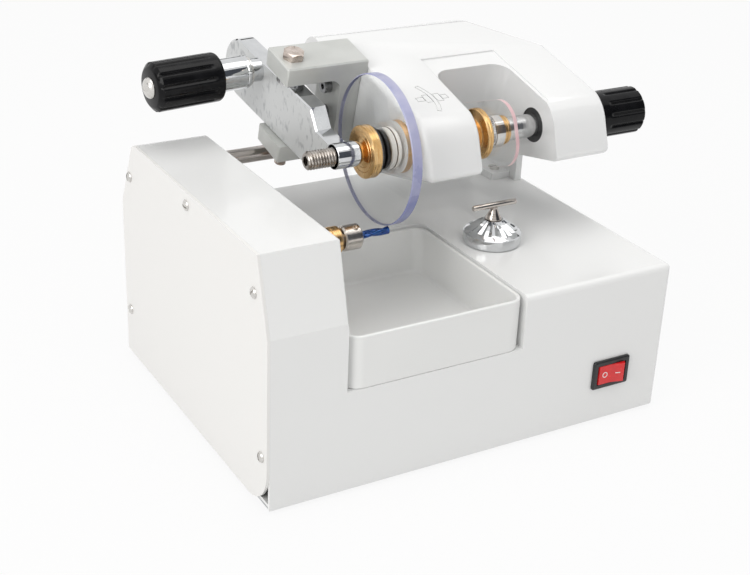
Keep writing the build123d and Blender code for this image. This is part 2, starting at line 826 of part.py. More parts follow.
# Drive belt: flat endless belt round both pulleys
belt_left = pulley_left + (pulley_width - belt_width) / 2
with BuildPart() as drive_belt:
    for grow, mode in ((belt_gap + belt_thickness, Mode.ADD), (belt_gap, Mode.SUBTRACT)):
        with BuildSketch(across(belt_left, 0, 0)) as loop:
            with Locations((spindle_y, spindle_z)):
                Circle(spindle_pulley_radius + grow)
            with Locations((motor_y, motor_z)):
                Circle(motor_pulley_radius + grow)
            make_hull()
        extrude(amount=belt_width, mode=mode)
save(drive_belt, "drive_belt")

# Cutter collar: nickel-plated chuck that holds the cutter's shank
with BuildPart() as cutter_collar:
    bar(across(collar_left, spindle_y, spindle_z), collar_radius, collar_length)
    chamfer(cutter_collar.edges().filter_by(GeomType.CIRCLE), edge_break)
    bar(across(collar_left, spindle_y, spindle_z), spindle_radius, shaft_right - collar_left, Mode.SUBTRACT)
    bar(across(shaft_right, spindle_y, spindle_z), cutter_radius, collar_cutter_bore, Mode.SUBTRACT)
save(cutter_collar, "cutter_collar")

# Milling cutter: coated carbide end mill with straight-drawn flutes
with BuildPart() as milling_cutter:
    bar(across(shaft_right, spindle_y, spindle_z), cutter_radius, cutter_right - shaft_right)
    flute_left = collar_left + collar_length + flute_gap
    with BuildSketch(across(flute_left, spindle_y, spindle_z)):
        with PolarLocations(cutter_radius, cutter_flutes):
            Circle(flute_radius)
    extrude(amount=cutter_right - flute_left, mode=Mode.SUBTRACT)
save(milling_cutter, "milling_cutter")

# Motor, its rotor shaft and the angle plate it hangs on
motor_plate_left = motor_left - motor_plate_thickness
with BuildPart() as motor_body:
    bar(across(motor_left, motor_y, motor_z), motor_radius, motor_length)
    fillet(motor_body.edges().sort_by(Axis.X)[-1], motor_end_radius)
    bar(across(motor_plate_left, motor_y, motor_z), motor_boss_radius, motor_boss_length)
    bar(across(motor_plate_left, motor_y, motor_z), motor_shaft_radius + running_fit,
        motor_length / 2, Mode.SUBTRACT)
    for dy in (-motor_screw_circle, motor_screw_circle):
        bar(across(motor_left, motor_y + dy, motor_z), motor_screw_diameter / 2 + seat_gap,
            motor_screw_grip + seat_gap, Mode.SUBTRACT)
save(motor_body, "motor_body")

with BuildPart() as motor_shaft:
    bar(across(pulley_left - pulley_shaft_end, motor_y, motor_z), motor_shaft_radius,
        motor_plate_left + motor_length / 2 - pulley_left)
save(motor_shaft, "motor_shaft")

with BuildPart() as motor_bracket:
    with BuildSketch(across(motor_plate_left, 0, 0)):
        with Locations((motor_y, (plate_floor_z + motor_z + motor_radius) / 2)):
            Rectangle(motor_plate_width, motor_z + motor_radius - plate_floor_z)
        with Locations((motor_y, motor_z)):
            Circle(motor_boss_radius + seat_gap, mode=Mode.SUBTRACT)
        with Locations((motor_y - motor_screw_circle, motor_z), (motor_y + motor_screw_circle, motor_z)):
            Circle(motor_screw_diameter / 2 + seat_gap, mode=Mode.SUBTRACT)
    extrude(amount=motor_plate_thickness)
    with BuildSketch(Plane.XY.offset(plate_floor_z)):
        with Locations((motor_plate_left + motor_plate_foot / 2, motor_y)):
            Rectangle(motor_plate_foot, motor_plate_width)
    extrude(amount=motor_plate_thickness)
save(motor_bracket, "motor_bracket")

with BuildPart() as motor_screws:
    for dy in (-motor_screw_circle, motor_screw_circle):
        outwards = Plane(origin=(motor_plate_left, motor_y + dy, motor_z), x_dir=(0, -1, 0), z_dir=(-1, 0, 0))
        pan_screw(outwards, motor_screw_diameter, motor_screw_head_height, motor_screw_diameter / 2,
                  motor_plate_thickness + motor_screw_grip)
save(motor_screws, "motor_screws")

# ---------------------------------------------------------------------------
# Follower that the pattern rests on
# ---------------------------------------------------------------------------

follower_axis = Plane(origin=(follower_x, follower_y, 0), x_dir=(1, 0, 0), z_dir=(0, 0, 1))
dial_top_z = deck_z + dial_rim_height + dial_cone_height
stem_cone_z = dial_top_z + seat_gap
bar_z = stem_cone_z + stem_cone_height + bar_radius
guide_bottom_z = deck_z - guide_length

# Follower guide: brass bush pressed into the deck from below
with BuildPart() as follower_guide:
    bar(follower_axis.offset(guide_bottom_z), guide_radius, guide_length)
    bar(follower_axis.offset(deck_z - sheet - guide_flange_thickness), guide_flange_radius,
        guide_flange_thickness)
    bar(follower_axis.offset(guide_bottom_z), stem_radius + running_fit, guide_length, Mode.SUBTRACT)
save(follower_guide, "follower_guide")

# Follower dial: chromed knurled cone with a plain rim
with BuildPart() as follower_dial:
    with BuildSketch(Plane.XZ.offset(-follower_y)):
        with BuildLine():
            Polyline(
                (follower_x, deck_z + seat_gap), (follower_x + dial_radius, deck_z + seat_gap),
                (follower_x + dial_radius, deck_z + dial_rim_height),
                (follower_x + dial_cone_top_radius, dial_top_z), (follower_x, dial_top_z), close=True)
        make_face()
    revolve(axis=Axis((follower_x, follower_y, 0), (0, 0, 1)))
    rim_edges = follower_dial.edges().filter_by(GeomType.CIRCLE)
    chamfer(rim_edges.filter_by(lambda e: e.radius > dial_radius - close_by), dial_edge)
    bar(follower_axis.offset(deck_z), stem_radius + running_fit, dial_top_z, Mode.SUBTRACT)
    for k in range(dial_flutes):
        turn = 2 * math.pi * k / dial_flutes
        inwards = dial_cone_top_radius - dial_radius
        rim_point = (follower_x + dial_radius * math.cos(turn), follower_y + dial_radius * math.sin(turn),
                     deck_z + dial_rim_height)
        slope = Plane(
            origin=rim_point, z_dir=(inwards * math.cos(turn), inwards * math.sin(turn), dial_cone_height))
        bar(slope, dial_flute_radius, math.hypot(inwards, dial_cone_height) + dial_flute_radius,
            Mode.SUBTRACT)
save(follower_dial, "follower_dial")

# Follower stem: nickel-plated spindle with a conical shoulder under the crossbar
with BuildPart() as follower_stem:
    bar(follower_axis.offset(guide_bottom_z), stem_radius, stem_cone_z - guide_bottom_z)
    with BuildSketch(follower_axis.offset(stem_cone_z)):
        Circle(stem_cone_radius)
    with BuildSketch(follower_axis.offset(stem_cone_z + stem_cone_height)):
        Circle(bar_radius)
    loft()
    bar(across(follower_x - bar_length / 2, follower_y, bar_z), bar_radius, bar_length, Mode.SUBTRACT)
save(follower_stem, "follower_stem")

# Follower bar: short polished steel pin that the pattern rides on
with BuildPart() as follower_bar:
    bar(across(follower_x - bar_length / 2, follower_y, bar_z), bar_radius, bar_length)
    fillet(follower_bar.edges().filter_by(GeomType.CIRCLE), dial_edge)
save(follower_bar, "follower_bar")

# ---------------------------------------------------------------------------
# Rocker switch, power inlet, board and wiring
# ---------------------------------------------------------------------------

front_plane = Plane(origin=(switch_x, front_y, switch_z), x_dir=(1, 0, 0), z_dir=(0, -1, 0))
rocker_axis_y = front_y + rocker_pivot_depth
rocker_bottom_z = switch_z - rocker_height / 2
pocket_width = 2 * (rocker_swing_radius + seat_gap)

# Switch bezel: black frame and body, snapped into the front
with BuildPart() as switch_bezel:
    with BuildSketch(front_plane):
        RectangleRounded(bezel_width, bezel_height, bezel_corner)
    extrude(amount=bezel_stand_out)
    chamfer(switch_bezel.faces().sort_by(Axis.Y)[0].outer_wire().edges(), bezel_edge)
    with BuildSketch(front_plane):
        Rectangle(switch_body_width, switch_body_height)
    extrude(amount=-switch_body_depth)
    with BuildSketch(front_plane.offset(bezel_stand_out)):
        Rectangle(pocket_width, rocker_height + 2 * seat_gap)
    extrude(amount=-(bezel_stand_out + rocker_pivot_depth + rocker_pocket), mode=Mode.SUBTRACT)
    pin_foot = Plane(origin=(switch_x, rocker_axis_y, rocker_bottom_z - rocker_pin_length - seat_gap),
                     x_dir=(1, 0, 0), z_dir=(0, 0, 1))
    bar(pin_foot, rocker_pin_radius + running_fit, rocker_height + 2 * (rocker_pin_length + seat_gap),
        Mode.SUBTRACT)
save(switch_bezel, "switch_bezel")

# Switch rocker: moulded paddle that tips about a pin across its middle
rocker_turn = math.radians(rocker_tilt)
rocker_plane = Plane(origin=(switch_x, rocker_axis_y, rocker_bottom_z),
                     x_dir=(math.cos(rocker_turn), -math.sin(rocker_turn), 0), z_dir=(0, 0, 1))
rocker_edge = (bezel_stand_out + rocker_pivot_depth + rocker_proud) / (1 + math.tan(rocker_turn))
rocker_half = math.sqrt(rocker_swing_radius ** 2 - rocker_edge ** 2)
rocker_root_half = math.sqrt(rocker_swing_radius ** 2 - rocker_root ** 2)
with BuildPart() as switch_rocker:
    with BuildSketch(rocker_plane):
        with BuildLine():
            Polyline((-rocker_half, -rocker_edge), (0, rocker_dip - rocker_edge), (rocker_half, -rocker_edge))
            ThreePointArc((rocker_half, -rocker_edge), (rocker_swing_radius, 0),
                          (rocker_root_half, rocker_root))
            Line((rocker_root_half, rocker_root), (-rocker_root_half, rocker_root))
            ThreePointArc((-rocker_root_half, rocker_root), (-rocker_swing_radius, 0),
                          (-rocker_half, -rocker_edge))
        make_face()
    extrude(amount=rocker_height)
    bar(rocker_plane.offset(-rocker_pin_length), rocker_pin_radius, rocker_height + 2 * rocker_pin_length)
save(switch_rocker, "switch_rocker")

# Power inlet: appliance socket in the back, with its three pins
back_plane = Plane(origin=(inlet_x, back_y, inlet_z), x_dir=(-1, 0, 0), z_dir=(0, 1, 0))
socket_floor = inlet_face - inlet_socket_depth
with BuildPart() as power_inlet:
    with BuildSketch(back_plane):
        RectangleRounded(inlet_width, inlet_height, bezel_corner)
    extrude(amount=inlet_face)
    with BuildSketch(back_plane):
        Rectangle(inlet_body_width, inlet_body_height)
    extrude(amount=-inlet_body_depth)
    with BuildSketch(back_plane.offset(inlet_face)):
        RectangleRounded(inlet_socket_width, inlet_socket_height, bezel_corner)
    extrude(amount=-inlet_socket_depth, mode=Mode.SUBTRACT)
save(power_inlet, "power_inlet")

with BuildPart() as inlet_pins:
    with BuildSketch(back_plane.offset(socket_floor)):
        with Locations((-pin_pitch, -pin_height / 2), (0, pin_height / 2), (pin_pitch, -pin_height / 2)):
            Rectangle(pin_width, pin_height)
    extrude(amount=pin_length)
save(inlet_pins, "inlet_pins")

# Control board: circuit board on the plate's posts, with its relay and terminal blocks
board_z = plate_floor_z + board_post_height
board_top_z = board_z + board_thickness
board_back_y = board_y + board_width / 2
board_right_x = board_x + board_length / 2
with BuildPart() as control_board:
    with BuildSketch(Plane.XY.offset(board_z)):
        with Locations((board_x, board_y)):
            Rectangle(board_length, board_width)
    extrude(amount=board_thickness)
    with BuildSketch(Plane.XY.offset(board_top_z)):
        with Locations((board_x, board_back_y - terminal_width / 2)):
            Rectangle(terminal_length, terminal_width)
        with Locations((board_right_x - terminal_width / 2, board_y)):
            Rectangle(terminal_width, terminal_length / 2)
    extrude(amount=terminal_height)
    with BuildSketch(Plane.XY.offset(board_top_z)):
        with Locations((board_x - relay_size / 2, board_y - relay_size / 2)):
            Rectangle(relay_size, relay_size)
    extrude(amount=relay_height)
save(control_board, "control_board")


def wire(*points):
    """One wire along its route, each bend as large as the runs beside it allow."""
    corners = [Vector(*p) for p in points]
    radii = []
    for before, corner, after in zip(corners, corners[1:], corners[2:]):
        shorter = min((corner - before).length, (after - corner).length)
        half_turn = math.radians((corner - before).get_angle(after - corner)) / 2
        radii.append(wire_arc_share * shorter / math.tan(half_turn))
    print("wire bend radii", [round(r, 1) for r in radii])
    with BuildLine() as route:
        FilletPolyline(*points, radius=radii)
    with BuildSketch(Plane(origin=route.line @ 0, z_dir=route.line % 0)) as section:
        Circle(wire_radius)
    sweep(section.sketch, path=route.line)


# Wiring: inlet to board, motor to board, and switch to board
terminal_z = board_top_z + terminal_height / 2
inlet_inner_y = back_y - inlet_body_depth
motor_right = motor_left + motor_length
switch_inner_y = front_y + switch_body_depth
with BuildPart() as wiring:
    wire((inlet_x, inlet_inner_y, inlet_z), (inlet_x, inlet_inner_y - wire_lead, inlet_z), inlet_wire_bend,
         (wire_terminal_x[1], board_back_y + wire_lead, terminal_z),
         (wire_terminal_x[1], board_back_y, terminal_z))
    wire((motor_right, motor_y, motor_wire_z), (motor_right + wire_lead, motor_y, motor_wire_z),
         motor_wire_bend, (wire_terminal_x[0], board_back_y + wire_lead, terminal_z),
         (wire_terminal_x[0], board_back_y, terminal_z))
    wire((switch_x, switch_inner_y, switch_z), (switch_x, switch_inner_y + wire_lead, switch_z),
         (board_right_x + wire_lead, board_y, terminal_z), (board_right_x, board_y, terminal_z))
save(wiring, "wiring")

# ---------------------------------------------------------------------------
# Swinging head
# ---------------------------------------------------------------------------

foot_reach = math.hypot(head_front_foot, head_foot_height)
tangent_turn = math.atan2(head_foot_height, head_front_foot) + math.acos(hub_radius / foot_reach)
hub_middle_turn = (tangent_turn - 2 * math.pi) / 2
hub_tangent = (hub_radius * math.cos(tangent_turn), hub_radius * math.sin(tangent_turn))
hub_middle = (hub_radius * math.cos(hub_middle_turn), hub_radius * math.sin(hub_middle_turn))
chamfer_run = (head_right - chamfer_start_x) / (head_rear - chamfer_end_back)
rod_seat = rod_diameter / 2 + rod_bushing_wall
shaft_radius = shaft_diameter / 2
arm_bushing_radius = shaft_radius + arm_bushing_wall


def plan_rectangle(left, right, front, rear):
    """Rectangle on the head's plan plane, from its four sides."""
    with Locations(((left + right) / 2, (front + rear) / 2)):
        Rectangle(right - left, rear - front)


# Head casting: two arms joined by a beam at the rear, cored from below
with BuildPart() as head_casting:
    with BuildSketch(head_plane(ear_left)):
        with BuildLine():
            under = Line(hub_tangent, (head_front_foot, head_foot_height))
            toe = Line(under @ 1, (head_front_shoulder, head_shoulder_height))
            brow = TangentArc(toe @ 1, (head_front_top, head_top), tangent=toe % 1)
            roof = Line(brow @ 1, (head_rear, head_top))
            bulge = TangentArc(roof @ 1, (head_rear_bulge, head_bulge_height), tangent=roof % 1)
            Line(bulge @ 1, (hub_radius, 0))
            ThreePointArc((hub_radius, 0), hub_middle, hub_tangent)
        make_face()
    extrude(amount=head_right - ear_left)
    # left of the casting only the ear for the clamp stands out
    with BuildSketch(head_plane(ear_left)):
        with BuildLine():
            Polyline(
                (head_front_foot - cut_reach, -cut_reach), (cut_reach, -cut_reach), (cut_reach, ear_bottom),
                (ear_front, ear_bottom), (ear_front, head_top + cut_reach),
                (head_front_foot - cut_reach, head_top + cut_reach), close=True)
        make_face()
    extrude(amount=head_left - ear_left, mode=Mode.SUBTRACT)
    # gap between the arms, where the pattern turns
    with BuildSketch(head_top_plane(-cut_reach)) as arm_gap:
        plan_rectangle(centre_arm_right, right_arm_left, head_front_foot - cut_reach, recess_rear)
        fillet(arm_gap.vertices().group_by(Axis.Y)[-1], recess_corner_radius)
    extrude(amount=head_top + 2 * cut_reach, mode=Mode.SUBTRACT)
    # corner cut off at the rear right
    with BuildSketch(head_top_plane(-cut_reach)):
        with BuildLine():
            Polyline(
                (head_right, chamfer_end_back),
                (chamfer_start_x - chamfer_run * (cut_reach - head_rear), cut_reach),
                (head_right + cut_reach, cut_reach), (head_right + cut_reach, chamfer_end_back), close=True)
        make_face()
    extrude(amount=head_top + 2 * cut_reach, mode=Mode.SUBTRACT)
    # clearance round the rod support
    bar(head_plane(hub_right), support_sweep_radius, head_right - hub_right, Mode.SUBTRACT)
    # pattern side of the beam's top lies a little lower
    with BuildSketch(head_top_plane(head_top - recess_step_depth)):
        plan_rectangle(centre_arm_right, recess_step_right, head_front_foot - cut_reach, recess_step_rear)
    extrude(amount=cut_reach, mode=Mode.SUBTRACT)
    # coring from below
    with BuildSketch(head_top_plane(-cut_reach)):
        plan_rectangle(head_left + pocket_wall, centre_arm_right - pocket_wall, centre_pocket_front,
                       centre_pocket_rear)
        plan_rectangle(right_arm_left + pocket_wall, head_right - pocket_wall, right_pocket_front,
                       right_pocket_rear)
        plan_rectangle(centre_arm_right + pocket_wall, right_arm_left, recess_rear + pocket_wall,
                       beam_pocket_rear)
    extrude(amount=head_top - pocket_roof + cut_reach, mode=Mode.SUBTRACT)
    # bores for the pivot rod, the lens shaft and their bushings
    bar(head_plane(head_left), rod_seat, hub_right - head_left, Mode.SUBTRACT)
    bar(across(head_left, lens_y, lens_z), arm_bushing_radius, centre_arm_right - head_left, Mode.SUBTRACT)
    bar(across(right_arm_left, lens_y, lens_z), end_bushing_radius, end_bushing_length, Mode.SUBTRACT)
    bar(across(right_arm_left, lens_y, lens_z), shaft_radius + seat_gap, head_right - right_arm_left,
        Mode.SUBTRACT)
    for height in bracket_screw_heights:
        bar(across(*head_point(head_left, bracket_screw_back, height)),
            bracket_screw_diameter / 2 + seat_gap, bracket_screw_length - bracket_leg + seat_gap,
            Mode.SUBTRACT)
save(head_casting, "head_casting")

# Rod bushings: two sintered sleeves that turn on the pivot rod
with BuildPart() as rod_bushings:
    for x in (head_left, hub_right - rod_bushing_length):
        tube(across(x, rod_y, rod_z), rod_seat, rod_diameter / 2 + running_fit, rod_bushing_length)
save(rod_bushings, "rod_bushings")

# Arm bushings: bronze, the left one with a broad flange
with BuildPart() as arm_bushings:
    for x in (head_left, centre_arm_right - arm_bushing_length):
        tube(across(x, lens_y, lens_z), arm_bushing_radius, shaft_radius + running_fit, arm_bushing_length)
    tube(across(head_left - arm_flange_thickness, lens_y, lens_z), arm_flange_radius,
         shaft_radius + running_fit, arm_flange_thickness)
save(arm_bushings, "arm_bushings")

# End bushing: black plastic sleeve in the right arm
with BuildPart() as end_bushing:
    tube(across(right_arm_left, lens_y, lens_z), end_bushing_radius, shaft_radius + running_fit,
         end_bushing_length)
save(end_bushing, "end_bushing")

# ---------------------------------------------------------------------------
# Clamp on the head's left: bracket, lever, pad and knob
# ---------------------------------------------------------------------------

head_up = head_top_plane(0).z_dir
cavity_bottom = bracket_bottom + bracket_plate
cavity_top = bracket_top - bracket_plate


def bolt_plane(height):
    """Plane square to the lever's bolt, at a height on the head."""
    return Plane(origin=head_point(bolt_x, bolt_back, height), x_dir=(1, 0, 0), z_dir=head_up)


def lever_spot(along, height, offset):
    """Plane square to the lever, centred on a point of it."""
    plane = lever_plane(offset)
    return Plane(origin=plane.from_local_coords((along, height, 0)), x_dir=plane.x_dir, z_dir=plane.z_dir)


# Clamp bracket: milled aluminium fork, open to the left
with BuildPart() as clamp_bracket:
    with BuildSketch(head_front_plane(bracket_rear)):
        with Locations(((bracket_left + head_left) / 2, (bracket_top + bracket_bottom) / 2)):
            Rectangle(head_left - bracket_left, bracket_height)
    extrude(amount=bracket_rear - bracket_front)
    chamfer(clamp_bracket.edges(), edge_break)
    with BuildSketch(head_front_plane(bracket_rear)) as fork_gap:
        with Locations(((bracket_left - bracket_plate + bracket_leg_left) / 2,
                        (cavity_top + cavity_bottom) / 2)):
            Rectangle(bracket_leg_left - bracket_left + bracket_plate, cavity_top - cavity_bottom)
        fillet(fork_gap.vertices().group_by(Axis.X)[-1], bracket_fillet)
    extrude(amount=bracket_rear - bracket_front, mode=Mode.SUBTRACT)
    bar(bolt_plane(bracket_bottom), bolt_diameter / 2 + running_fit, bracket_height, Mode.SUBTRACT)
    for height in bracket_screw_heights:
        bar(across(*head_point(bracket_leg_left, bracket_screw_back, height)),
            bracket_screw_diameter / 2 + seat_gap, bracket_leg, Mode.SUBTRACT)
save(clamp_bracket, "clamp_bracket")

# Bracket screws: socket heads inside the fork
with BuildPart() as bracket_screws:
    for height in bracket_screw_heights:
        seat = across(*head_point(bracket_leg_left, bracket_screw_back, height))
        bar(seat, bracket_screw_diameter / 2, bracket_screw_length)
        bar(seat, bracket_screw_head / 2, -bracket_screw_diameter)
        with BuildSketch(seat.offset(-bracket_screw_diameter)):
            RegularPolygon(bracket_screw_flats / 2, 6, major_radius=False)
        extrude(amount=bracket_screw_diameter / 2, mode=Mode.SUBTRACT)
save(bracket_screws, "bracket_screws")

# Lever bolt: hexagon bolt down through the fork, the lever's pivot
with BuildPart() as lever_bolt:
    with BuildSketch(bolt_plane(bracket_top)):
        RegularPolygon(bolt_head_flats / 2, 6, major_radius=False)
    extrude(amount=bolt_head_height)
    bar(bolt_plane(bracket_bottom - bolt_stand_out), bolt_diameter / 2, bracket_height + bolt_stand_out)
save(lever_bolt, "lever_bolt")

# Lever spacer: steel ring between the lever and the fork's upper arm
with BuildPart() as lever_spacer:
    tube(bolt_plane(lever_top + seat_gap), spacer_radius, bolt_diameter / 2 + running_fit,
         cavity_top - lever_top - 2 * seat_gap)
save(lever_spacer, "lever_spacer")

# Clamp lever: chromed flat bar on edge, with a boss for the pad screw and one for the stud
lens_along = (lens_back - bolt_back) / math.cos(math.radians(lever_skew))
with BuildPart() as clamp_lever:
    with BuildSketch(lever_plane(-lever_thickness / 2)):
        with BuildLine():
            foot_line = Line((lever_toe, lever_bottom), (lever_rear, lever_bottom))
            ThreePointArc(foot_line @ 1, (lever_rear + lever_radius, lever_bottom + lever_radius),
                          (lever_rear, lever_top))
            Polyline(
                (lever_rear, lever_top), (lever_step_start, lever_top), (lever_step_end, lever_neck_top),
                (lens_along, lever_neck_top), (lens_along, lever_neck_bottom),
                (lever_toe_front, lever_toe_height), foot_line @ 0)
        make_face()
    extrude(amount=lever_thickness)
    chamfer(clamp_lever.faces().sort_by(Axis.X)[0].edges(), edge_break)
    chamfer(clamp_lever.faces().sort_by(Axis.X)[-1].edges(), edge_break)
    bar(across(boss_left, lens_y, lens_z), boss_radius, boss_length)
    bar(lever_spot(clamp_back, clamp_height, -lever_thickness / 2 - clamp_boss_length),
        clamp_boss_radius, clamp_boss_length)
    bar(bolt_plane(lever_bottom - edge_break), bolt_diameter / 2 + running_fit,
        lever_top - lever_bottom + 2 * edge_break, Mode.SUBTRACT)
    bar(across(boss_left, lens_y, lens_z), pad_screw_radius, boss_length, Mode.SUBTRACT)
    bar(lever_spot(clamp_back, clamp_height, -lever_thickness / 2 - clamp_boss_length),
        stud_radius + running_fit, lever_thickness + clamp_boss_length, Mode.SUBTRACT)
save(clamp_lever, "clamp_lever")

# Pad screw: grub screw in the lever's front boss, with a pin that the pad swivels on
facing_left = lens_left - lens_gap - facing_thickness
pad_disc_left = facing_left - pad_disc_thickness
with BuildPart() as pad_screw:
    bar(across(pad_screw_left, lens_y, lens_z), pad_screw_radius, pad_screw_right - pad_screw_left)
    chamfer(pad_screw.edges().filter_by(GeomType.CIRCLE), edge_break)
    with BuildSketch(across(pad_screw_left, lens_y, lens_z)):
        RegularPolygon(socket_flats / 2, 6, major_radius=False)
    extrude(amount=socket_depth, mode=Mode.SUBTRACT)
    bar(across(pad_screw_right, lens_y, lens_z), pad_pin_radius, pad_pin_length)
save(pad_screw, "pad_screw")

# Swivel pad: turned brass disc on a short neck
with BuildPart() as swivel_pad:
    bar(across(pad_screw_right + seat_gap, lens_y, lens_z), pad_neck_radius,
        facing_left - pad_screw_right - seat_gap)
    bar(across(pad_disc_left, lens_y, lens_z), disc_radius, pad_disc_thickness)
    pad_rims = swivel_pad.edges().filter_by(GeomType.CIRCLE)
    chamfer(pad_rims.filter_by(lambda e: e.radius > facing_radius), edge_break)
    bar(across(pad_screw_right, lens_y, lens_z), pad_pin_radius + running_fit, pad_pin_length + 2 * seat_gap,
        Mode.SUBTRACT)
save(swivel_pad, "swivel_pad")

# Pad facing: grey rubber disc with a serrated rim, bonded to the pad
with BuildPart() as pad_facing:
    with BuildSketch(across(facing_left, lens_y, lens_z)):
        Circle(facing_radius)
        with PolarLocations(facing_radius, facing_teeth):
            Circle(facing_notch_radius, mode=Mode.SUBTRACT)
    extrude(amount=facing_thickness)
save(pad_facing, "pad_facing")

# Clamp stud: threaded steel rod through the lever, whose rounded tip pushes on the ear
skew = math.radians(lever_skew)
stud_reach = (ear_left - stud_end_gap - bolt_x + clamp_back * math.sin(skew)) / math.cos(skew)
boss_face = -lever_thickness / 2 - clamp_boss_length
washer_left = boss_face - seat_gap - washer_thickness
sleeve_left = washer_left - seat_gap - sleeve_length
clamp_knob_left = sleeve_left - clamp_knob_length
with BuildPart() as clamp_stud:
    stud_left = sleeve_left - clamp_knob_socket
    bar(lever_spot(clamp_back, clamp_height, stud_left), stud_radius, stud_reach - stud_left)
    fillet(clamp_stud.edges().filter_by(GeomType.CIRCLE).sort_by(Axis.X)[-1], stud_tip_radius)
save(clamp_stud, "clamp_stud")

with BuildPart() as clamp_washer:
    tube(lever_spot(clamp_back, clamp_height, washer_left), washer_radius, stud_radius + running_fit,
         washer_thickness)
save(clamp_washer, "clamp_washer")

# Knob sleeve: chromed distance sleeve between the knob and the washer
with BuildPart() as knob_sleeve:
    tube(lever_spot(clamp_back, clamp_height, sleeve_left), sleeve_radius, stud_radius, sleeve_length)
    sleeve_rims = knob_sleeve.edges().filter_by(GeomType.CIRCLE)
    chamfer(sleeve_rims.filter_by(lambda e: e.radius > stud_radius + nearby), edge_break)
save(knob_sleeve, "knob_sleeve")


def fluted_knob(plane, length, bore, bore_depth, band, bore_at_top):
    """Moulded knob with scalloped grips, and at one end a smooth band and a blind bore."""
    with BuildSketch(plane) as grip:
        Circle(knob_radius)
    extrude(grip.sketch, amount=length)
    fillet(edges(Select.LAST).filter_by(GeomType.CIRCLE), knob_edge_radius)
    with BuildSketch(plane if bore_at_top else plane.offset(band)) as flutes:
        with PolarLocations(knob_radius + knob_flute_radius / 2, knob_flutes):
            Circle(knob_flute_radius)
    extrude(flutes.sketch, amount=length - band, mode=Mode.SUBTRACT)
    bore_plane = plane.offset(length - bore_depth) if bore_at_top else plane
    bar(bore_plane, bore, bore_depth, Mode.SUBTRACT)


# Clamp knob: black phenolic knob moulded on the stud
with BuildPart() as clamp_knob:
    fluted_knob(lever_spot(clamp_back, clamp_height, clamp_knob_left), clamp_knob_length, stud_radius,
                clamp_knob_socket, clamp_knob_band, True)
    bar(lever_spot(clamp_back, clamp_height, clamp_knob_left), dome_shank, dome_shank_length, Mode.SUBTRACT)
save(clamp_knob, "clamp_knob")

# Knob screw: nickel-plated dome head in the knob's end
with BuildPart() as knob_screw:
    knob_end = lever_spot(clamp_back, clamp_height, clamp_knob_left - dome_height)
    bar(knob_end, dome_radius, dome_height)
    fillet(knob_screw.edges().filter_by(GeomType.CIRCLE).sort_by(Axis.X)[0], dome_height - dome_edge)
    bar(knob_end.offset(dome_height), dome_shank, dome_shank_length)
save(knob_screw, "knob_screw")

# ---------------------------------------------------------------------------
# Lens train: what turns with the right-hand knob
# ---------------------------------------------------------------------------

knob_left_x = head_right + turning_knob_gap
with BuildPart() as lens_shaft:
    bar(across(shaft_left, lens_y, lens_z), shaft_radius, knob_left_x + knob_socket - shaft_left)
save(lens_shaft, "lens_shaft")

with BuildPart() as turning_knob:
    fluted_knob(across(knob_left_x, lens_y, lens_z), knob_length, shaft_radius, knob_socket,
                turning_knob_band, False)
save(turning_knob, "turning_knob")

# Lens blank: uncut lens
with BuildPart() as lens_blank:
    bar(across(lens_left, lens_y, lens_z), lens_radius, lens_thickness)
    chamfer(lens_blank.edges(), lens_bevel)
save(lens_blank, "lens_blank")

with BuildPart() as chuck_cup:
    bar(across(lens_right, lens_y, lens_z), cup_radius, cup_thickness)
save(chuck_cup, "chuck_cup")

with BuildPart() as chuck_holder:
    bar(across(cup_right, lens_y, lens_z), holder_radius, holder_length)
    chamfer(chuck_holder.faces().sort_by(Axis.X)[-1].edges(), edge_break)
    bar(across(shaft_left, lens_y, lens_z), shaft_radius, holder_socket, Mode.SUBTRACT)
save(chuck_holder, "chuck_holder")

# Pattern disc: brass seat for the pattern
with BuildPart() as pattern_disc:
    bar(across(disc_left, lens_y, lens_z), disc_hub_radius, disc_hub_length)
    bar(across(disc_left + disc_hub_length, lens_y, lens_z), disc_radius, disc_thickness)
    disc_rims = pattern_disc.edges().filter_by(GeomType.CIRCLE)
    chamfer(disc_rims.filter_by(lambda e: e.radius > disc_radius - nearby), edge_break)
    bar(across(disc_left, lens_y, lens_z), shaft_radius, disc_right - disc_left, Mode.SUBTRACT)
save(pattern_disc, "pattern_disc")

# Pattern lens: clear plate cut to the shape that is to be copied
with BuildPart() as pattern_lens:
    with BuildSketch(across(disc_right, lens_y, lens_z)):
        with Locations((-pattern_shift, 0)):
            Rectangle(pattern_width, pattern_height, rotation=-pattern_tilt)
        fillet(vertices(), pattern_corner_radius)
        Circle(shaft_radius, mode=Mode.SUBTRACT)
    extrude(amount=pattern_thickness)
save(pattern_lens, "pattern_lens")

# Pattern nut: chromed knurled nut with a brass ring
with BuildPart() as pattern_nut:
    tube(across(pattern_right, lens_y, lens_z), nut_radius, shaft_radius, nut_length)
    with BuildSketch(across(pattern_right + edge_break, lens_y, lens_z)):
        with PolarLocations(nut_radius, nut_knurls):
            Circle(nut_knurl_radius)
    extrude(amount=nut_length - 2 * edge_break, mode=Mode.SUBTRACT)
save(pattern_nut, "pattern_nut")

with BuildPart() as nut_ring:
    tube(across(nut_right, lens_y, lens_z), nut_ring_radius, shaft_radius, nut_ring_length)
save(nut_ring, "nut_ring")
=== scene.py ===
import json
import math

import bmesh
import bpy
from mathutils import Matrix, Vector


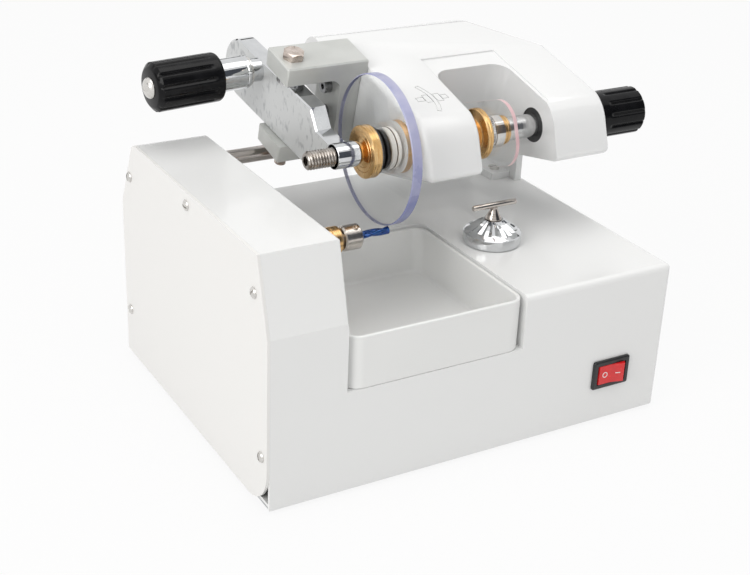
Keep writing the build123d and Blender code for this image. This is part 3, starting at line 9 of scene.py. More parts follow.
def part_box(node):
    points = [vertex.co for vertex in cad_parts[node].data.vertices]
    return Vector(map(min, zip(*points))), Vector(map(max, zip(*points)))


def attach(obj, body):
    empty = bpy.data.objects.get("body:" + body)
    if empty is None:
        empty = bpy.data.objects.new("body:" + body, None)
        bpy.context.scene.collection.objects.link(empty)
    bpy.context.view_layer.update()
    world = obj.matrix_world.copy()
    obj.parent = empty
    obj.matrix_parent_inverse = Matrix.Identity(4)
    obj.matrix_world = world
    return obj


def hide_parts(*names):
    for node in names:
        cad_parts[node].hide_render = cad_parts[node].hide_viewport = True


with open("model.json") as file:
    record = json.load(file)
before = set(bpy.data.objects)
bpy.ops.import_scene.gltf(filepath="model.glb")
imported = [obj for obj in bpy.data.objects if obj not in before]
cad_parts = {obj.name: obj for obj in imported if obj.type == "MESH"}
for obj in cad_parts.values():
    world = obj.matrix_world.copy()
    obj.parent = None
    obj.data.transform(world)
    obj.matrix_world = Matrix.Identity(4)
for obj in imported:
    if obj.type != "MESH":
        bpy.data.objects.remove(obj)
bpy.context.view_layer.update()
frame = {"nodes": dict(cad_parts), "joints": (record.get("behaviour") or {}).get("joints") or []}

# ---------------------------------------------------------------------------
# Camera: it stands to the left of the machine's front and looks down on it.
# Its place and turn were worked out from the corners of the base.
# ---------------------------------------------------------------------------
view_side = math.radians(-30.558)
view_rise = math.radians(25.811)
view_roll = math.radians(2.4335)
view_place = Vector((-0.34129, -0.56328, 0.37249))
view_lens = 67.2

backwards = Vector((
    math.sin(view_side) * math.cos(view_rise), -math.cos(view_side) * math.cos(view_rise), math.sin(view_rise)))
level = Vector((math.cos(view_side), math.sin(view_side), 0))
upright = backwards.cross(level)
view_right = math.cos(view_roll) * level + math.sin(view_roll) * upright
view_up = math.cos(view_roll) * upright - math.sin(view_roll) * level

camera_data = bpy.data.cameras.new("camera")
camera_data.sensor_width = 36
camera_data.lens = view_lens
camera = bpy.data.objects.new("camera", camera_data)
camera.matrix_world = Matrix((view_right, view_up, backwards)).transposed().to_4x4()
camera.matrix_world.translation = view_place
bpy.context.scene.collection.objects.link(camera)
bpy.context.scene.camera = camera

# ---------------------------------------------------------------------------
# Table and lamps: a pale floor under a white sky, three broad soft lamps, and
# dark boards out of sight, which bright metal reflects as its dark bands.
# ---------------------------------------------------------------------------
floor_size = 4.0
floor_shade = 0.72
floor_glow = 0.90          # how much of the floor is even white to the eye
sky_fill = 0.64            # what the white sky adds to the machine's own light
lamp_warmth = (1.0, 0.985, 0.965)

bpy.context.scene.view_settings.view_transform = "Standard"


def seen_directly(tree):
    """Nodes that give 1 to the camera and to what shows in metal and glass, and 0 to light itself."""
    rays = tree.nodes.new("ShaderNodeLightPath")
    total = rays.outputs["Is Camera Ray"]
    for kind in ("Is Glossy Ray", "Is Transmission Ray"):
        both = tree.nodes.new("ShaderNodeMath")
        both.use_clamp = True
        tree.links.new(total, both.inputs[0])
        tree.links.new(rays.outputs[kind], both.inputs[1])
        total = both.outputs["Value"]
    return total


floor_paint = bpy.data.materials.new("table_paint")
floor_paint.use_nodes = True
floor_tree = floor_paint.node_tree
floor_shader = floor_tree.nodes["Principled BSDF"]
floor_shader.inputs["Base Color"].default_value = (floor_shade, floor_shade, floor_shade, 1)
floor_shader.inputs["Roughness"].default_value = 0.9
floor_shader.inputs["Specular IOR Level"].default_value = 0.1
glow = floor_tree.nodes.new("ShaderNodeEmission")
share = floor_tree.nodes.new("ShaderNodeMath")
share.operation = "MULTIPLY"
share.inputs[1].default_value = floor_glow
floor_tree.links.new(seen_directly(floor_tree), share.inputs[0])
blend = floor_tree.nodes.new("ShaderNodeMixShader")
floor_tree.links.new(share.outputs["Value"], blend.inputs["Fac"])
floor_tree.links.new(floor_shader.outputs["BSDF"], blend.inputs[1])
floor_tree.links.new(glow.outputs["Emission"], blend.inputs[2])
floor_tree.links.new(blend.outputs["Shader"], floor_tree.nodes["Material Output"].inputs["Surface"])

floor_work = bmesh.new()
bmesh.ops.create_grid(floor_work, x_segments=1, y_segments=1, size=floor_size)
floor_mesh = bpy.data.meshes.new("table")
floor_work.to_mesh(floor_mesh)
floor_work.free()
floor_mesh.materials.append(floor_paint)
floor = bpy.data.objects.new("table", floor_mesh)
bpy.context.scene.collection.objects.link(floor)

sky = bpy.data.worlds.new("sky")
sky.use_nodes = True
bpy.context.scene.world = sky
sky_light = sky.node_tree.nodes["Background"]
sky_light.inputs["Color"].default_value = (1, 1, 1, 1)
sky_share = sky.node_tree.nodes.new("ShaderNodeMapRange")
sky_share.inputs["To Min"].default_value = sky_fill
sky.node_tree.links.new(seen_directly(sky.node_tree), sky_share.inputs["Value"])
sky.node_tree.links.new(sky_share.outputs["Result"], sky_light.inputs["Strength"])


def facing(place, target):
    """Matrix at a place whose local -Z looks at a target, both in metres."""
    matrix = (Vector(target) - Vector(place)).to_track_quat("-Z", "Y").to_matrix().to_4x4()
    matrix.translation = place
    return matrix


def soft_lamp(name, place, size, power):
    """A square soft lamp turned to the machine's middle."""
    data = bpy.data.lights.new(name, "AREA")
    data.shape = "SQUARE"
    data.size = size
    data.energy = power
    data.color = lamp_warmth
    lamp = bpy.data.objects.new(name, data)
    lamp.matrix_world = facing(place, (0, 0, 0.08))
    bpy.context.scene.collection.objects.link(lamp)


soft_lamp("lamp_above", (0.1, -0.15, 1.5), 1.3, 8.4)
soft_lamp("lamp_left", (-1.5, -0.5, 0.9), 1.0, 12.5)
soft_lamp("lamp_front", (0.5, -1.5, 0.8), 1.0, 0.5)


def dark_board(name, place, wide, high, shade):
    """A matt board that only shows in polished metal."""
    paint = bpy.data.materials.new(name)
    paint.use_nodes = True
    paint.node_tree.nodes["Principled BSDF"].inputs["Base Color"].default_value = (*shade, 1)
    paint.node_tree.nodes["Principled BSDF"].inputs["Specular IOR Level"].default_value = 0
    work = bmesh.new()
    bmesh.ops.create_grid(work, x_segments=1, y_segments=1, size=0.5)
    bmesh.ops.scale(work, vec=(wide, high, 1), verts=work.verts)
    bmesh.ops.transform(work, matrix=facing(place, (0, 0, 0.12)), verts=work.verts)
    mesh = bpy.data.meshes.new(name)
    work.to_mesh(mesh)
    work.free()
    mesh.materials.append(paint)
    board = bpy.data.objects.new(name, mesh)
    board.visible_camera = False
    board.visible_diffuse = False
    board.visible_shadow = False
    board.visible_transmission = False
    bpy.context.scene.collection.objects.link(board)


dark_board("board_front", (0.85, -1.2, 0.72), 1.5, 1.35, (0.10, 0.11, 0.13))
dark_board("board_left", (-1.2, 0.25, 0.5), 0.7, 0.16, (0.03, 0.03, 0.03))
dark_board("board_rear", (0.3, 1.2, 0.55), 1.4, 0.2, (0.05, 0.05, 0.05))

# ---------------------------------------------------------------------------
# Shell: folded sheet steel with the drive tower on its left, powder-coated
# gloss white. The tray's well is folded from the same sheet and screwed in.
# ---------------------------------------------------------------------------
mm = 0.001
enamel_shades = ((0.819, 0.824, 0.819), (0.822, 0.827, 0.822))
enamel_patch = 60.0
enamel_gloss = (0.25, 0.262)
enamel_peel = (1.6, 0.008)
fold_round = 0.35


def finish(name, shades, patch, gloss, grain, metal=0.0, coat=0.0, run=(1, 1, 1), stops=(0.35, 0.65)):
    """Material in two close shades, lying in patches, with uneven gloss and a fine raised grain.

    Patch and grain are sizes in millimetres, the grain's with its height, and run draws the
    pattern out: a larger number along an axis makes it finer that way, as turning marks are.
    Stops are the two levels of the pattern between which one shade runs into the other.
    """
    material = bpy.data.materials.new(name)
    material.use_nodes = True
    tree = material.node_tree
    shader = tree.nodes["Principled BSDF"]
    shader.inputs["Metallic"].default_value = metal
    shader.inputs["Coat Weight"].default_value = coat
    shader.inputs["Coat Roughness"].default_value = 0.08
    place = tree.nodes.new("ShaderNodeTexCoord")
    draw = tree.nodes.new("ShaderNodeMapping")
    draw.inputs["Scale"].default_value = run
    tree.links.new(place.outputs["Object"], draw.inputs["Vector"])
    patches = tree.nodes.new("ShaderNodeTexNoise")
    patches.inputs["Scale"].default_value = 1 / (patch * mm)
    patches.inputs["Detail"].default_value = 1 if patch > 30 else 5
    tree.links.new(draw.outputs["Vector"], patches.inputs["Vector"])
    tint = tree.nodes.new("ShaderNodeValToRGB")
    for stop, spot, shade in zip(tint.color_ramp.elements, stops, shades):
        stop.position = spot
        stop.color = (*shade, 1)
    tree.links.new(patches.outputs["Fac"], tint.inputs["Fac"])
    tree.links.new(tint.outputs["Color"], shader.inputs["Base Color"])
    shine = tree.nodes.new("ShaderNodeMapRange")
    shine.inputs["From Min"].default_value = 0.3
    shine.inputs["From Max"].default_value = 0.7
    shine.inputs["To Min"].default_value = gloss[0]
    shine.inputs["To Max"].default_value = gloss[1]
    tree.links.new(patches.outputs["Fac"], shine.inputs["Value"])
    tree.links.new(shine.outputs["Result"], shader.inputs["Roughness"])
    fine = tree.nodes.new("ShaderNodeTexNoise")
    fine.inputs["Scale"].default_value = 1 / (grain[0] * mm)
    fine.inputs["Detail"].default_value = 3
    tree.links.new(draw.outputs["Vector"], fine.inputs["Vector"])
    relief = tree.nodes.new("ShaderNodeBump")
    relief.inputs["Distance"].default_value = grain[1] * mm
    tree.links.new(fine.outputs["Fac"], relief.inputs["Height"])
    tree.links.new(relief.outputs["Normal"], shader.inputs["Normal"])
    return material


def coat_nodes(material, *names):
    """Gives CAD nodes that keep their own shape their finish."""
    for name in names:
        for slot in frame["nodes"][name].material_slots:
            slot.material = material


def make_piece(name, work, materials, body, slot, *nodes):
    """Turns a finished bmesh into a piece that rides on its body and stands for CAD nodes."""
    mesh = bpy.data.meshes.new(name)
    work.to_mesh(mesh)
    work.free()
    for material in materials:
        mesh.materials.append(material)
    mesh.shade_smooth()
    mesh.set_sharp_from_angle(angle=math.radians(30))
    piece = bpy.data.objects.new(name, mesh)
    bpy.context.scene.collection.objects.link(piece)
    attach(piece, body)
    if nodes:
        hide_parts(*nodes)
    return piece


def copied(node):
    """A CAD node's mesh as one merged skin, with its flat faces whole again."""
    work = bmesh.new()
    work.from_mesh(frame["nodes"][node].data)
    for face in work.faces:
        face.material_index = 0
    bmesh.ops.remove_doubles(work, verts=work.verts, dist=1e-6)
    bmesh.ops.dissolve_limit(
        work, angle_limit=math.radians(0.5), verts=work.verts, edges=work.edges, delimit={"NORMAL"})
    return work


def soften(piece, width, segments=3):
    """Rounds a piece's hard edges by a small width in millimetres."""
    edge = piece.modifiers.new("edge", "BEVEL")
    edge.width = width * mm
    edge.segments = segments
    edge.limit_method = "ANGLE"
    edge.angle_limit = math.radians(40)
    edge.harden_normals = True


enamel = finish("white_enamel", enamel_shades, enamel_patch, enamel_gloss, enamel_peel, coat=0.35)
coat_nodes(enamel, "housing", "tray_well")

# ---------------------------------------------------------------------------
# Left cover: flat sheet over the drive, coated a little warmer and less glossy
# than the shell. Slotted nickel screws hold it, the bottom plate and the rod's
# support.
# ---------------------------------------------------------------------------
cover_shades = ((0.805, 0.798, 0.781), (0.808, 0.801, 0.784))
nickel_shades = ((0.60, 0.585, 0.56), (0.70, 0.685, 0.66))
screw_radius = 2.8
screw_crown = 1.55
screw_slot = (0.8, 0.7)

cover_enamel = finish("cover_enamel", cover_shades, 70.0, (0.32, 0.335), enamel_peel, coat=0.15)
cover = make_piece("left_cover_sheet", copied("left_cover"), [cover_enamel], "base", "cover_enamel", "left_cover")
soften(cover, fold_round)

nickel = finish("nickel_plate", nickel_shades, 2.0, (0.16, 0.3), (0.15, 0.004), metal=1.0)


def turned(outline, steps=64, closed=False):
    """A piece turned about X from its outline, as (along, radius) pairs in millimetres."""
    work = bmesh.new()
    points = [work.verts.new((along * mm, 0, radius * mm)) for along, radius in outline]
    ends = points[1:] + points[:1] if closed else points[1:]
    edges = [work.edges.new(pair) for pair in zip(points, ends)]
    bmesh.ops.spin(
        work, geom=points + edges, cent=(0, 0, 0), axis=(1, 0, 0), angle=2 * math.pi, steps=steps, use_merge=True)
    bmesh.ops.remove_doubles(work, verts=work.verts, dist=1e-7)
    bmesh.ops.recalc_face_normals(work, faces=work.faces)
    return work


def lie(place, along, across=(0, 0, 1)):
    """Matrix that lays local X along a direction, and local Z towards another, from a place in metres."""
    first = Vector(along).normalized()
    second = Vector(across).cross(first).normalized()
    matrix = Matrix((first, second, first.cross(second))).transposed().to_4x4()
    matrix.translation = place
    return matrix


def moved(work, matrix):
    """The same bmesh, laid in its place on the machine."""
    bmesh.ops.transform(work, matrix=matrix, verts=work.verts)
    return work


def block(low, high):
    """Plain rectangular cutting tool between two corners, in millimetres."""
    work = bmesh.new()
    bmesh.ops.create_cube(work, size=mm)
    size = [b - a for a, b in zip(low, high)]
    middle = [(a + b) / 2 * mm for a, b in zip(low, high)]
    bmesh.ops.scale(work, vec=size, verts=work.verts)
    bmesh.ops.translate(work, vec=middle, verts=work.verts)
    return work


def cut(work, tool, keep="DIFFERENCE"):
    """Takes a tool's shape out of a piece, or keeps only what both share."""
    halves = []
    for half in (work, tool):
        mesh = bpy.data.meshes.new("cut")
        half.to_mesh(mesh)
        half.free()
        halves.append(bpy.data.objects.new("cut", mesh))
        bpy.context.scene.collection.objects.link(halves[-1])
    change = halves[0].modifiers.new("cut", "BOOLEAN")
    change.object = halves[1]
    change.operation = keep
    change.solver = "EXACT"
    done = bmesh.new()
    done.from_object(halves[0], bpy.context.evaluated_depsgraph_get())
    for half in halves:
        bpy.data.objects.remove(half)
    return done


def merge(work, *others):
    """Puts further bmeshes into one."""
    for other in others:
        mesh = bpy.data.meshes.new("part")
        other.to_mesh(mesh)
        other.free()
        work.from_mesh(mesh)
        bpy.data.meshes.remove(mesh)
    return work


def slotted_head(place, outwards, turn):
    """Domed, slotted screw head on its seat, with a short shank behind it."""
    dome = [(screw_crown * math.cos(a), screw_radius * math.sin(a)) for a in
            (math.radians(k * 12) for k in range(8))]
    dome[-1] = (0.25, screw_radius)
    work = turned(dome + [(0, screw_radius - 0.15), (0, 1.45), (-4, 1.45), (-4, 0)], 40)
    wide, deep = screw_slot
    tool = block((screw_crown - deep, -4, -wide / 2), (screw_crown + 1, 4, wide / 2))
    work = cut(work, moved(tool, Matrix.Rotation(math.radians(turn), 4, "X")))
    return moved(work, lie(place, outwards, (0, 1, 0)))


cover_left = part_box("left_cover")[0].x
shell_low, shell_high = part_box("housing")
screw_front = shell_low.y
cover_screw_places = ((5.8, 29.0), (13.5, 107.5), (87.5, 120.0), (163.0, 107.0), (168.5, 29.0))
cover_screw_turns = (20, -35, 75, 10, -60)
heads = bmesh.new()
for (back, high), turn in zip(cover_screw_places, cover_screw_turns):
    merge(heads, slotted_head((cover_left, screw_front + back * mm, high * mm), (-1, 0, 0), turn))
make_piece("cover_screw_heads", heads, [nickel], "base", "nickel", "cover_screws")
coat_nodes(nickel, "base_screws", "motor_screws")

# ---------------------------------------------------------------------------
# Chip tray: one moulding in off-white plastic with a rounded rim, which slides
# out of its well to the front.
# ---------------------------------------------------------------------------
tray_shades = ((0.80, 0.805, 0.795), (0.815, 0.82, 0.81))

tray_plastic = finish("tray_plastic", tray_shades, 40.0, (0.3, 0.35), (0.8, 0.008))
tray = make_piece("chip_tray_moulding", copied("chip_tray"), [tray_plastic], "tray", "white_plastic", "chip_tray")
soften(tray, 0.8, 4)

# ---------------------------------------------------------------------------
# Underside: galvanised bottom plate with vents and pressed posts, and four
# moulded rubber feet pushed through it.
# ---------------------------------------------------------------------------
zinc = finish("zinc_sheet", ((0.42, 0.43, 0.44), (0.60, 0.61, 0.62)), 9.0, (0.35, 0.55), (1.0, 0.004), metal=0.9)
coat_nodes(zinc, "bottom_plate", "motor_bracket")
foot_rubber = finish("foot_rubber", ((0.018, 0.018, 0.018), (0.03, 0.03, 0.03)), 4.0, (0.6, 0.8), (0.4, 0.02))
coat_nodes(foot_rubber, "feet", "drive_belt")

# ---------------------------------------------------------------------------
# Pivot: a ground steel rod through the tower wall and a coated steel plate on
# the deck. The head turns on it in two sintered bushings.
# ---------------------------------------------------------------------------
rod_shades = ((0.38, 0.345, 0.32), (0.56, 0.525, 0.50))

rod_steel = finish("ground_rod", rod_shades, 25.0, (0.14, 0.26), (0.4, 0.003), metal=1.0, run=(0.2, 3, 3))
rod_low, rod_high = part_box("pivot_rod")
rod_middle = (rod_low + rod_high) / 2
rod_radius = (rod_high.z - rod_low.z) / 2 / mm
rod_half = (rod_high.x - rod_low.x) / 2 / mm
rod = turned(((-rod_half, 0), (-rod_half, rod_radius - 0.7), (-rod_half + 0.7, rod_radius),
              (rod_half - 0.7, rod_radius), (rod_half, rod_radius - 0.7), (rod_half, 0)))
make_piece("pivot_rod_bar", moved(rod, lie(rod_middle, (1, 0, 0))), [rod_steel], "base", "steel", "pivot_rod")
support = make_piece("rod_support_plate", copied("rod_support"), [enamel], "base", "white_enamel", "rod_support")
soften(support, 0.6)
milled = finish("milled_aluminium", ((0.58, 0.59, 0.59), (0.70, 0.71, 0.71)), 6.0, (0.3, 0.42), (0.2, 0.004),
                metal=1.0, run=(1, 1, 6))
coat_nodes(milled, "rod_block", "spindle_housing", "spindle_pulley", "motor_pulley")
bronze = finish("sintered_bronze", ((0.50, 0.30, 0.13), (0.62, 0.39, 0.19)), 3.0, (0.35, 0.5), (0.15, 0.01), metal=1.0)
coat_nodes(bronze, "rod_bushings")

# ---------------------------------------------------------------------------
# Cutter spindle: stepped brass nose outside the tower, a nickel-plated collar
# that grips the shank, and a small coated end mill with twisted flutes.
# ---------------------------------------------------------------------------
brass_shades = ((0.60, 0.36, 0.14), (0.76, 0.51, 0.25))
collar_shades = ((0.50, 0.46, 0.42), (0.58, 0.54, 0.50))
cutter_shades = ((0.010, 0.035, 0.17), (0.02, 0.10, 0.34))
nose_steps = ((-72.5, 11.0), (-63.5, 8.5), (-55.5, 6.8), (-45.5, 3.8))
nose_chamfer = 0.7
cutter_flutes = 3
cutter_twist = 0.16        # radians for each millimetre

brass = finish("turned_brass", brass_shades, 9.0, (0.2, 0.32), (2.0, 0.006), metal=1.0, run=(14, 1, 1))
collar_plate = finish("collar_plate", collar_shades, 8.0, (0.18, 0.26), (2.0, 0.003), metal=1.0, run=(3, 1, 1))
cutter_coat = finish("cutter_coat", cutter_shades, 2.0, (0.15, 0.3), (0.2, 0.01), metal=0.75, coat=0.4)
spindle_steel = finish("spindle_steel", ((0.48, 0.48, 0.48), (0.62, 0.62, 0.62)), 6.0, (0.15, 0.28), (0.5, 0.003),
                       metal=1.0, run=(8, 1, 1))
coat_nodes(spindle_steel, "spindle_shaft", "spindle_bearings", "motor_shaft")


def sink_grooves(work, count, depth, share, first, last, fade, inner=0.0, twist=0.0):
    """Sinks even grooves along a piece turned about X.

    Depth and places are millimetres; share is the part of each pitch that a groove takes, fade
    the length over which it runs out at its ends, and inner the radius that stays as it is.
    """
    for vert in work.verts:
        along = vert.co.x / mm
        radius = math.hypot(vert.co.y, vert.co.z) / mm
        if radius <= inner or not first < along < last:
            continue
        turn = math.atan2(vert.co.z, vert.co.y) / (2 * math.pi) + twist * (along - first) / (2 * math.pi)
        off_groove = abs((turn * count) % 1.0 - 0.5) * 2 / share
        dip = 0.5 + 0.5 * math.cos(math.pi * min(off_groove, 1.0))
        run_out = min(1.0, (along - first) / fade, (last - along) / fade)
        keep = 1 - depth * dip * run_out / radius
        vert.co.y *= keep
        vert.co.z *= keep


spindle_low, spindle_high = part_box("milling_cutter")
spindle_axis = Vector((0, *((spindle_low + spindle_high) / 2).yz))
nose = [(-74.0, 3.8), (-74.0, 9.0), (-72.5, 9.0)]
for (left, radius), (right, _) in zip(nose_steps, nose_steps[1:]):
    middle = (left + right) / 2
    nose += [(left, radius), (middle - 0.3, radius), (middle, radius - 0.25), (middle + 0.3, radius),
             (right - nose_chamfer, radius), (right, radius - nose_chamfer)]
nose.append(nose_steps[-1])
make_piece("spindle_nose_turning", moved(turned(nose, 72, closed=True), lie(spindle_axis, (1, 0, 0))), [brass],
           "base", "brass", "spindle_nose")

collar = turned(((-44, 3.0), (-44, 5.5), (-43.2, 6.3), (-35.3, 6.3), (-34.5, 5.5), (-34.5, 2.0), (-38.5, 2.0), (-38.5, 3.0)), 72, closed=True)
grub = cut(turned(((-0.9, 0), (-0.9, 1.4), (0.35, 1.4), (0.5, 1.2), (0.5, 0)), 24),
           moved(turned(((0.0, 0), (0.0, 0.8), (2, 0.8), (2, 0)), 6), Matrix.Identity(4)))
grub_matrix = lie(spindle_axis + Vector((-37.6, -2.6, 5.6)) * mm, (0, -0.42, 0.91), (1, 0, 0))
make_piece("cutter_collar_turning", merge(moved(collar, lie(spindle_axis, (1, 0, 0))), moved(grub, grub_matrix)),
           [collar_plate], "spindle", "nickel", "cutter_collar")

cutter_rings = [(-33.4 + k * 0.55, 2.0) for k in range(29)]
cutter = turned([(-38.5, 0), (-38.5, 2.0)] + cutter_rings + [(-18.0, 1.5), (-18.0, 0)], 72)
sink_grooves(cutter, cutter_flutes, 1.0, 0.8, -33.5, -17.9, 2.5, 0.2, cutter_twist)
make_piece("milling_cutter_flutes", moved(cutter, lie(spindle_axis, (1, 0, 0))), [cutter_coat], "spindle",
           "blue_carbide", "milling_cutter")

# ---------------------------------------------------------------------------
# Drive: a small motor with a black end-bell casing on its angle plate. What
# else is under the deck is a green board, an inlet, and three wires.
# ---------------------------------------------------------------------------
motor_black = finish("motor_casing", ((0.02, 0.02, 0.022), (0.035, 0.035, 0.038)), 12.0, (0.4, 0.55), (0.5, 0.01))
coat_nodes(motor_black, "motor_body", "power_inlet")
board_green = finish("board_green", ((0.012, 0.11, 0.035), (0.02, 0.17, 0.06)), 5.0, (0.25, 0.4), (0.6, 0.02))
coat_nodes(board_green, "control_board")
wire_cover = finish("wire_cover", ((0.20, 0.015, 0.012), (0.27, 0.02, 0.018)), 6.0, (0.35, 0.5), (0.3, 0.005))
coat_nodes(wire_cover, "wiring")
coat_nodes(brass, "follower_guide", "inlet_pins")

# ---------------------------------------------------------------------------
# Follower: a chromed dial with a faceted cone, which screws a conical nickel
# stem up and down. The steel crossbar on the stem carries the pattern.
# ---------------------------------------------------------------------------
chrome_shades = ((0.58, 0.59, 0.60), (0.66, 0.67, 0.68))
stem_shades = ((0.30, 0.265, 0.24), (0.48, 0.44, 0.41))
dial_facets = 20
dial_groove = 1.3

chrome = finish("chrome_plate", chrome_shades, 10.0, (0.04, 0.1), (0.5, 0.001), metal=1.0)
stem_plate = finish("stem_plate", stem_shades, 6.0, (0.12, 0.22), (1.0, 0.004), metal=1.0, run=(1, 1, 12))
bar_steel = finish("bar_steel", ((0.52, 0.48, 0.44), (0.66, 0.61, 0.57)), 12.0, (0.16, 0.28), (0.3, 0.003),
                   metal=1.0, run=(0.3, 3, 3))
dial_low, dial_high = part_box("follower_dial")
dial_axis = Vector((*((dial_low + dial_high) / 2).xy, 0))
upwards = lie(dial_axis, (0, 0, 1), (0, 1, 0))
cone_rings = [(89.25 + k * 0.775, 14.4 - k * 1.175) for k in range(9)]
dial = turned([(83.1, 1.65), (83.1, 14.3), (83.5, 14.8), (84.1, 15.0), (88.3, 15.0), (88.8, 14.85)] + cone_rings
              + [(95.5, 5.0), (95.5, 1.65)], 2 * dial_facets, closed=True)
sink_grooves(dial, dial_facets, dial_groove, 1.0, 89.0, 95.5, 1.0, 4.6)
rim = turned([(83.1, 12.0), (83.1, 14.3), (83.5, 14.8), (84.1, 15.0), (88.3, 15.0), (88.8, 14.85), (89.1, 14.5),
              (89.1, 12.0)], 96, closed=True)
make_piece("follower_dial_turning", moved(merge(dial, rim), upwards), [chrome], "dial", "chrome", "follower_dial")

stem = turned([(69.0, 0), (69.0, 1.6), (95.6, 1.6), (95.6, 4.1), (95.8, 4.3), (96.4, 4.2), (98.6, 3.0),
               (100.4, 2.15), (101.4, 1.8), (102.4, 1.7), (102.4, 0)])
make_piece("follower_stem_turning", moved(stem, upwards), [stem_plate], "follower", "nickel", "follower_stem")

bar_low, bar_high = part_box("follower_bar")
bar_middle = (bar_low + bar_high) / 2
bar_half = (bar_high.x - bar_low.x) / 2 / mm
bar_radius = (bar_high.z - bar_low.z) / 2 / mm
crossbar = turned([(-bar_half, 0), (-bar_half, bar_radius - 0.5), (-bar_half + 0.15, bar_radius - 0.15),
                   (-bar_half + 0.5, bar_radius), (bar_half - 0.5, bar_radius),
                   (bar_half - 0.15, bar_radius - 0.15), (bar_half, bar_radius - 0.5), (bar_half, 0)])
make_piece("follower_bar_pin", moved(crossbar, lie(bar_middle, (1, 0, 0))), [bar_steel], "follower", "steel",
           "follower_bar")

# ---------------------------------------------------------------------------
# Switch: a red rocker in a black frame that is snapped into the front. Its
# two faces carry the usual white ring and bar for off and on.
# ---------------------------------------------------------------------------
rocker_shades = ((0.62, 0.008, 0.012), (0.72, 0.014, 0.016))
rocker_tilt = math.radians(7)
rocker_face_out = 4.41     # from the pin to the middle of a face
rocker_face_side = 3.75
rocker_dip = math.radians(7.2)

switch_black = finish("switch_black", ((0.012, 0.012, 0.013), (0.02, 0.02, 0.021)), 5.0, (0.28, 0.4), (0.3, 0.006))
rocker_red = finish("rocker_red", rocker_shades, 6.0, (0.2, 0.3), (0.6, 0.004), coat=0.3)
mark_white = finish("mark_white", ((0.82, 0.80, 0.79), (0.86, 0.84, 0.83)), 2.0, (0.4, 0.5), (0.2, 0.002))
bezel = make_piece("switch_bezel_frame", copied("switch_bezel"), [switch_black], "base", "black_plastic",
                   "switch_bezel")
soften(bezel, 0.25)
rocker = make_piece("switch_rocker_paddle", copied("switch_rocker"), [rocker_red], "rocker", "red_plastic",
                    "switch_rocker")
soften(rocker, 0.3)

rocker_pin = next(joint for joint in frame["joints"] if joint["name"] == "rocker_tip")
mark_ring = turned([(-0.05, 1.15), (0.06, 1.15), (0.06, 1.55), (-0.05, 1.55)], 40, closed=True)
mark_bar = block((-0.05, -1.3, -0.2), (0.06, 1.3, 0.2))
rocker_middle = (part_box("switch_rocker")[0].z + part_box("switch_rocker")[1].z) / 2
marks = bmesh.new()
for mark, side in ((mark_ring, -1), (mark_bar, 1)):
    lean = -side * rocker_dip
    on_face = (Matrix.Rotation(-rocker_tilt, 4, "Z")
               @ Matrix.Translation(Vector((side * rocker_face_side, -rocker_face_out, 0)) * mm)
               @ Matrix.Rotation(lean, 4, "Z") @ Matrix.Rotation(math.radians(-90), 4, "Z"))
    merge(marks, moved(mark, on_face))
marks_place = Vector((*rocker_pin["pos_m"][:2], rocker_middle))
make_piece("switch_marks", moved(marks, Matrix.Translation(marks_place)), [mark_white], "rocker", "red_plastic")

# ---------------------------------------------------------------------------
# Head: one aluminium casting with two arms and a beam, enamelled gloss white
# all over, so every outer edge is broadly rounded.
# ---------------------------------------------------------------------------
cast_shades = ((0.808, 0.813, 0.813), (0.815, 0.82, 0.82))
cast_round = 3.2
cast_left = -2.0
cast_gap = 30.0
cast_right = 107.5
cast_toe = -93.8
cast_chamfer = (26.0, 31.6)
cast_chamfer_front = -20.6
cast_bores = ((-67.8, 39.6, 12.0), (0, 0, 8.0), (-12.0, 43.5, 4.0), (-12.0, 28.5, 4.0))
head_pin = next(joint for joint in frame["joints"] if joint["name"] == "head_swing")
head_origin = Vector(head_pin["pos_m"])
head_tilt = math.radians(13)
head_back = Vector((0, math.cos(head_tilt), math.sin(head_tilt)))
head_up = Vector((0, -math.sin(head_tilt), math.cos(head_tilt)))
head_top = 57.4

cast_enamel = finish("cast_enamel", cast_shades, 45.0, (0.14, 0.22), (5.0, 0.02), coat=0.5)
casting = copied("head_casting")


def casting_place(vert):
    """A vertex's place in the head's own frame: along X, back from the pin and up from it, in millimetres."""
    reach = (vert.co - head_origin) / mm
    return vert.co.x / mm, reach.dot(head_back), reach.dot(head_up)


def on_outline(vert):
    """Whether a vertex lies on one of the casting's outlines, clear of its bores."""
    along, back, high = casting_place(vert)
    near_bore = any(math.hypot(back - b, high - h) < reach for b, h, reach in cast_bores)
    on_chamfer = abs((cast_right - along) * cast_chamfer[1] - (back - cast_chamfer_front) * cast_chamfer[0]) < 1
    on_side = any(abs(along - side) < 0.05 for side in (cast_left, cast_gap, cast_right))
    on_toe = abs(back - cast_toe) < 0.05
    return (on_side or on_chamfer or on_toe) and not near_bore


outline = [
    edge for edge in casting.edges
    if len(edge.link_faces) == 2 and edge.is_convex and edge.calc_face_angle() > math.radians(40)
    and all(on_outline(vert) for vert in edge.verts)]
bmesh.ops.bevel(
    casting, geom=outline, offset=cast_round * mm, offset_type="OFFSET", segments=5, profile=0.5, affect="EDGES",
    clamp_overlap=False, material=-1)
bmesh.ops.recalc_face_normals(casting, faces=casting.faces)
head = make_piece("head_casting_shell", casting, [cast_enamel], "head", "white_casting", "head_casting")
soften(head, 0.6)

# ---------------------------------------------------------------------------
# Bushings in the arms: bronze in the centre arm, with a broad flange that was
# enamelled over with the casting, and a black plastic sleeve in the right arm.
# ---------------------------------------------------------------------------
bushings = copied("arm_bushings")
for face in bushings.faces:
    face.normal_update()
    face.material_index = 1 if face.normal.x < -0.9 and face.calc_center_median().x < cast_left * mm else 0
make_piece("arm_bushing_pair", bushings, [bronze, cast_enamel], "head", "bronze", "arm_bushings")
coat_nodes(switch_black, "end_bushing")

